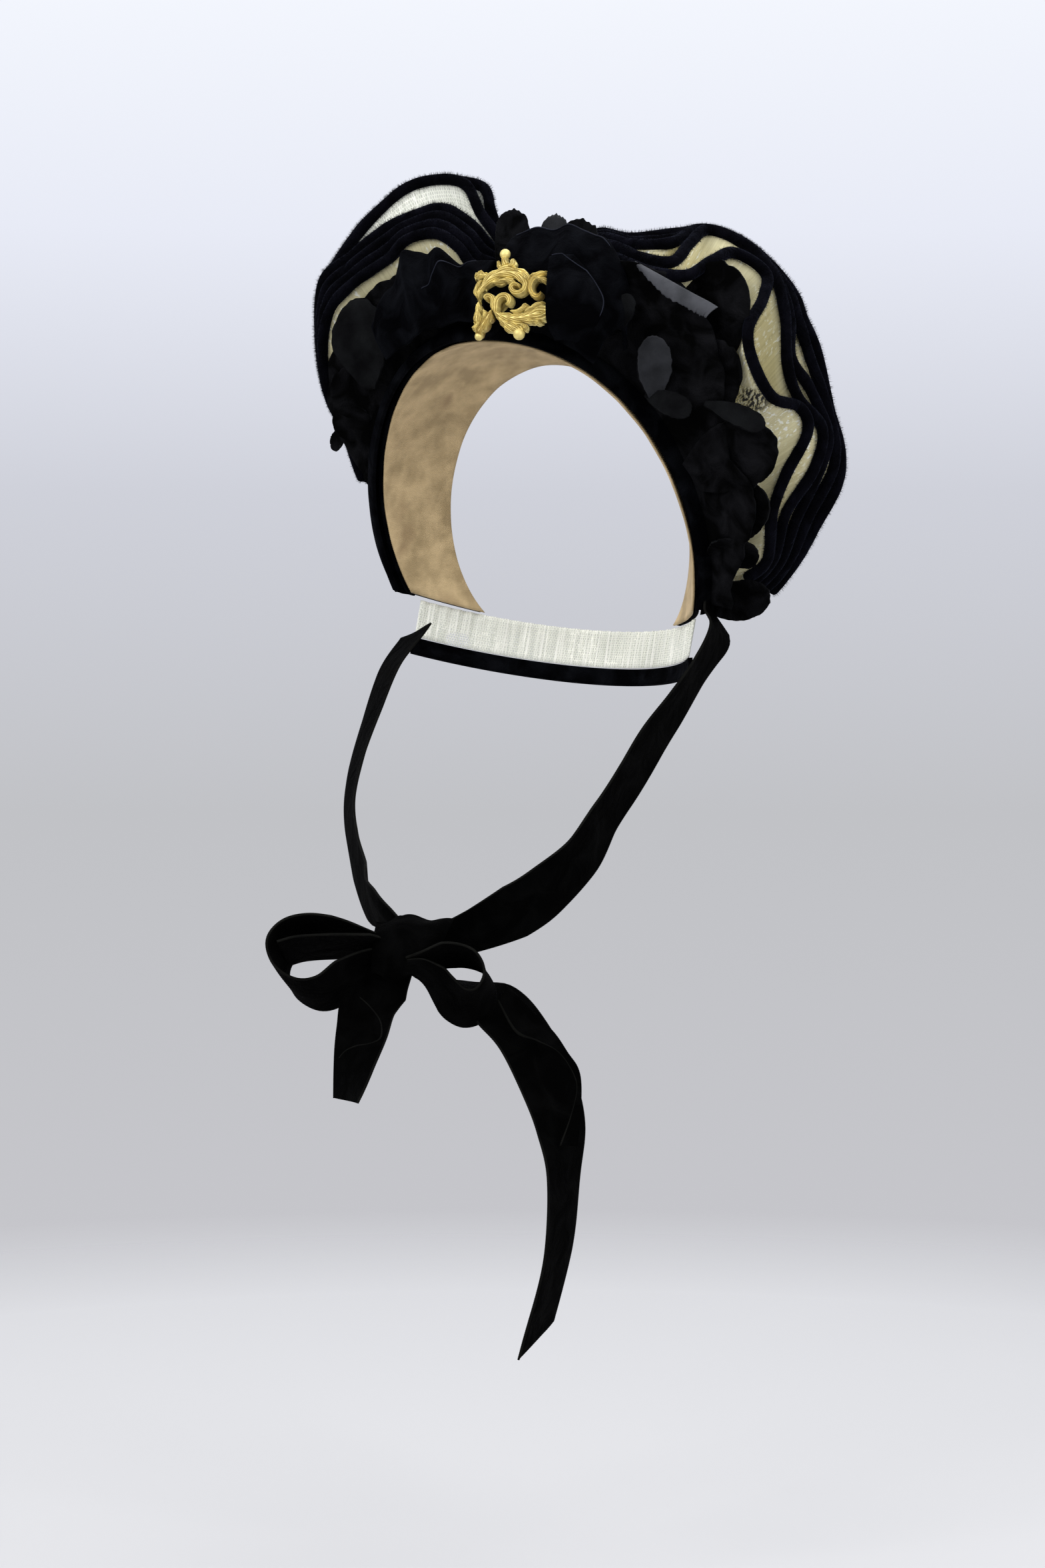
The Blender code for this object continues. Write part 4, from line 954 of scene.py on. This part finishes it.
# Chin ribbon: black velvet ribbon 27 mm wide with a plain woven selvedge, which reads as a fine
# paler line. Both straps end in one knot, and the bow has two loops and two cut tails.
RIBBON_WIDTH = 27.0
RIBBON_ROWS = 16
SELVEDGE_SHARE = 0.014
RIBBON_WAVE = 1.1
GATHER_RUN = 0.2
KNOT_GATHER = 0.45
CUT_RUN = 0.2
STRAP_RIGHT = [
    # right, up, near, turn
    (92.0, -12, -9, 62), (91, -22, -2, 66), (82.2, -37.1, 8, 70), (72.1, -52.5, 16, 66),
    (61.6, -67.4, 24, 61), (51.8, -83.3, 31, 60), (41.6, -99.3, 38, 60), (31.2, -116.2, 45, 50),
    (16.3, -130.0, 52, 38), (4.5, -138.3, 55, 32), (-12.3, -146.5, 56, 25), (-27, -152, 57, 20),
    (-38, -154, 57.5, 15),
]
STRAP_LEFT = [
    # right, up, near, turn
    (-44, -14, -79, -70), (-56, -32, -66, -72), (-64, -55, -54, -74), (-70, -78, -38, -76),
    (-71.5, -98, -20, -76), (-68, -117, 2, -73), (-61.5, -132, 30, -66), (-55.5, -139, 55, -58),
    (-50, -144.5, 66, -50), (-45, -150, 70, -45),
]
TAIL_LONG = [
    # right, up, near, turn
    (-41, -160, 73, 60), (-34.3, -166.6, 70, 84), (-17.6, -171, 68, 80), (-5.2, -178, 70, 42),
    (5.9, -190, 74, 38), (16.1, -209.8, 76, 34), (21.6, -227.8, 77, 42), (22.8, -248.3, 77, 60),
    (20.3, -280.9, 77, 64), (11.4, -316, 77, 66),
]
TAIL_SHORT = [
    # right, up, near, turn
    (-44, -158, 73, -20), (-51, -166, 72, -24), (-58, -176, 73, -26), (-61, -188, 75, -35),
    (-64.5, -202, 77, -51), (-67.5, -217, 77, -68),
]
LOOP_LEFT = [
    # right, up, near
    (-46, -153, 76), (-56.5, -150, 76), (-66, -147.5, 76), (-78, -146, 76), (-88, -148, 76),
    (-94.5, -153.5, 76), (-96, -160, 76), (-92.5, -168, 76), (-84, -173, 76), (-75.5, -172, 76),
    (-67.5, -165.5, 76), (-57.5, -159.5, 76), (-46, -156, 76),
]
LOOP_LEFT_FRONT = [
    # right, up, near
    (-46, -153, 77), (-58, -153.5, 77), (-72, -153.5, 77), (-86, -154, 77), (-94, -156, 77),
]
LOOP_RIGHT = [
    # right, up, near
    (-41, -160, 84), (-34.5, -158.5, 87), (-23, -156, 87), (-13, -158.5, 87), (-8.5, -164.5, 87),
    (-8.5, -171, 87), (-12.5, -176.7, 87), (-18.5, -177.7, 87), (-24.5, -174, 87), (-29.5, -168.5, 87),
    (-35, -163, 87), (-41, -161, 84),
]
LOOP_RIGHT_LEAN = [
    # right, away, up of the ribbon's width, along the loop
    (0.20, 0.88, -0.44), (0.20, 0.88, -0.44), (0.12, 0.84, -0.52), (-0.10, 0.72, -0.70), (0.05, 0.80, -0.60),
]
LOOP_LEFT_LEAN = [(0.28, 0.80, -0.53)] * 2
LOOP_FRONT_LEAN = [(0.10, 0.90, -0.43)] * 2
TAIL_FOLD = [
    # selvedge right, up, outer right, up
    (-4.9, -174.7, -0.5, -168.9), (2.5, -187.9, 8.3, -177.7), (11.3, -191.6, 18.6, -187.9),
    (20.1, -196.0, 24.5, -196.5), (26.0, -204.1, 28.6, -202.6), (28.0, -211.4, 30.0, -209.9),
    (25.2, -223.1, 29.6, -223.1), (20.8, -234.9, 28.4, -234.9),
]
FOLD_NEAR = 84.0
FOLD_STEPS = 70
FOLD_FLAT = (0.075, 0.0065)
FOLD_AREA = 0.00045
SHORT_TAIL_FOLD = [
    # right, up, near of the folded edge that crosses the short tail
    (-62.3, -173.5, 79), (-57.5, -177.5, 82), (-53.3, -182.5, 86), (-52.3, -187.0, 88), (-53.3, -190.5, 88),
    (-57.5, -192.6, 85), (-63.0, -193.8, 82), (-67.5, -196.0, 79), (-70.8, -199.6, 76.5),
]
BOW_TURN = 28.0
BOW = Matrix.Translation(HEAD) @ Matrix.Rotation(math.radians(BOW_TURN), 4, "Z")
RIBBON_VELVET = velvet("ribbon_velvet", "#020202", "#070707", 0.006, "#7d7a78")
SELVEDGE = silk("ribbon_selvedge", "#080807", "#11110f", "#050504", 0.0006, 0.02)


def bow_point(right, up, near):
    """A point of the ribbon in the upright frame of the bow, before BOW places it."""
    return Vector((right, -near, up)) * MM


def ribbon(name, rows, steps, tied, nodes, across=None, cut=0.0, seed=0):
    """A ribbon along its route, softly waved, and gathered at the ends where it is tied.

    Its width turns as the last column of its rows says, or lies along the rows of across. Cut is how far
    its end slants, in mm."""
    shares, length = evenly(lambda share: bow_point(*along_curve(rows, share)[:3]), steps)
    spots = [bow_point(*along_curve(rows, share)[:3]) for share in shares]

    def strip(u, v):
        index = round(u * steps)
        run = (spots[min(index + 1, steps)] - spots[max(index - 1, 0)]).normalized()
        if across:
            width = Vector(along_curve(across, shares[index])).normalized()
        else:
            side = run.cross(Vector((0.0, 1.0, 0.0))).normalized()
            depth = side.cross(run).normalized()
            turn = math.radians(along_curve(rows, shares[index])[3])
            width = side * math.cos(turn) + depth * math.sin(turn)
        near_knot = min([1.0] + [abs(u - end) / GATHER_RUN for end in tied])
        gathered = KNOT_GATHER + (1.0 - KNOT_GATHER) * near_knot
        out = run.cross(width).normalized()
        # The outermost rows are the selvedge, 0.4 mm wide
        line = round(v * RIBBON_ROWS)
        even = SELVEDGE_SHARE + (line - 1) / (RIBBON_ROWS - 2) * (1 - 2 * SELVEDGE_SHARE)
        even = line / RIBBON_ROWS if line in (0, RIBBON_ROWS) else even
        place = (even - 0.5) * RIBBON_WIDTH * gathered
        pleat = (1.0 - near_knot) ** 2 * math.sin(4 * math.pi * v)
        wave = RIBBON_WAVE * noise.noise(Vector((u * length * 22.0, v * 1.4, seed))) * near_knot
        slant = run * cut * (0.5 - v) * max(0.0, u - 1.0 + CUT_RUN) / CUT_RUN * MM
        return BOW @ (spots[index] + width * place * MM + out * (pleat + wave) * MM + slant)

    piece = cloth(name, steps, RIBBON_ROWS, strip, (length, RIBBON_WIDTH * MM), 1.0,
                  [RIBBON_VELVET, SELVEDGE], "black_velvet_ribbon", nodes, "hung", ["ribbon_knot_core"])
    for face in piece.data.polygons:
        if face.index // steps in (0, RIBBON_ROWS - 1):
            face.material_index = 1


ribbon("chin_strap_right", STRAP_RIGHT, 120, [1], ["strap_right"], seed=1)
ribbon("chin_strap_left", STRAP_LEFT, 100, [1], ["strap_left"], seed=2)
ribbon("tail_long", TAIL_LONG, 90, [0], ["ribbon_tail_long"], cut=16.0, seed=3)
ribbon("tail_short", TAIL_SHORT, 40, [0], ["ribbon_tail_short"], cut=3.0, seed=4)
ribbon("loop_left", LOOP_LEFT, 80, [0, 1], ["ribbon_loop_left"], LOOP_LEFT_LEAN, seed=5)
ribbon("loop_right", LOOP_RIGHT, 80, [0, 1], ["ribbon_loop_right"], LOOP_RIGHT_LEAN, seed=6)
ribbon("loop_left_front", LOOP_LEFT_FRONT, 60, [0], [], LOOP_FRONT_LEAN, seed=7)


def tail_fold_shape(u, v):
    """The part of the long tail that is folded over, with its selvedge on top."""
    row = along_curve(TAIL_FOLD, u)
    inner, outer = bow_point(row[0], row[1], FOLD_NEAR), bow_point(row[2], row[3], FOLD_NEAR)
    return BOW @ inner.lerp(outer, v)


tail_fold = cloth("tail_long_fold", FOLD_STEPS, 10, tail_fold_shape, FOLD_FLAT, 0.8,
                  [RIBBON_VELVET, SELVEDGE], "black_velvet_ribbon", [], "folded", ["tail_long"],
                  area=FOLD_AREA)
for face in tail_fold.data.polygons:
    if face.index < FOLD_STEPS:
        face.material_index = 1
short_fold = [BOW @ bow_point(*along_curve(SHORT_TAIL_FOLD, i / 50)) for i in range(51)]
seam_cord("tail_short_fold", short_fold, 0.3, SELVEDGE)

# Knot: the ribbon's own folds pressed into a soft lump, with one pleated turn of ribbon over it.
# The straps, loops and tails all come out of it.
KNOT_CENTRE = bow_point(-42.7, -153.0, 74.0)
KNOT_HALF = (12.2, 14.0, 12.4)
KNOT_WRAP = (12.8, 14.0, 13.4)
core = bmesh.new()
bmesh.ops.create_uvsphere(core, u_segments=48, v_segments=32, radius=1.0)
for vert in core.verts:
    crumple = 1.0 + 0.10 * noise.noise(vert.co * 2.4)
    spot = Vector([c * half for c, half in zip(vert.co, KNOT_HALF)]) * crumple * MM
    vert.co = BOW @ (spot + KNOT_CENTRE)
knot_core = show("ribbon_knot_core", core, [RIBBON_VELVET], ["ribbon_knot"])


def knot_wrap_shape(u, v):
    """The turn of ribbon round the knot: a pleated band that passes over it from top to bottom."""
    turn = 2 * math.pi * (0.02 + 0.96 * u)
    across = 2.0 * v - 1.0
    pleat = 0.9 * math.cos(1.8 * math.pi * across + 1.6 * math.sin(turn) + 0.8)
    pleat += 2.2 * noise.noise(Vector((math.cos(turn), math.sin(turn), across)) * 1.4)
    high = KNOT_WRAP[0] * (1.0 - 0.22 * across ** 2) + pleat
    deep = KNOT_WRAP[1] * (1.0 - 0.22 * across ** 2) + pleat
    side = across * KNOT_WRAP[2] * (1.0 + 0.2 * math.cos(turn)) + 3.5 * math.cos(turn)
    spot = Vector((side, -deep * math.sin(turn), high * math.cos(turn))) * MM
    return BOW @ (spot + KNOT_CENTRE)


cloth("ribbon_knot_wrap", 110, 40, knot_wrap_shape, (0.086, RIBBON_WIDTH * MM), 1.0, [RIBBON_VELVET],
      "black_velvet_ribbon", [], "gathered", ["ribbon_knot_core"])
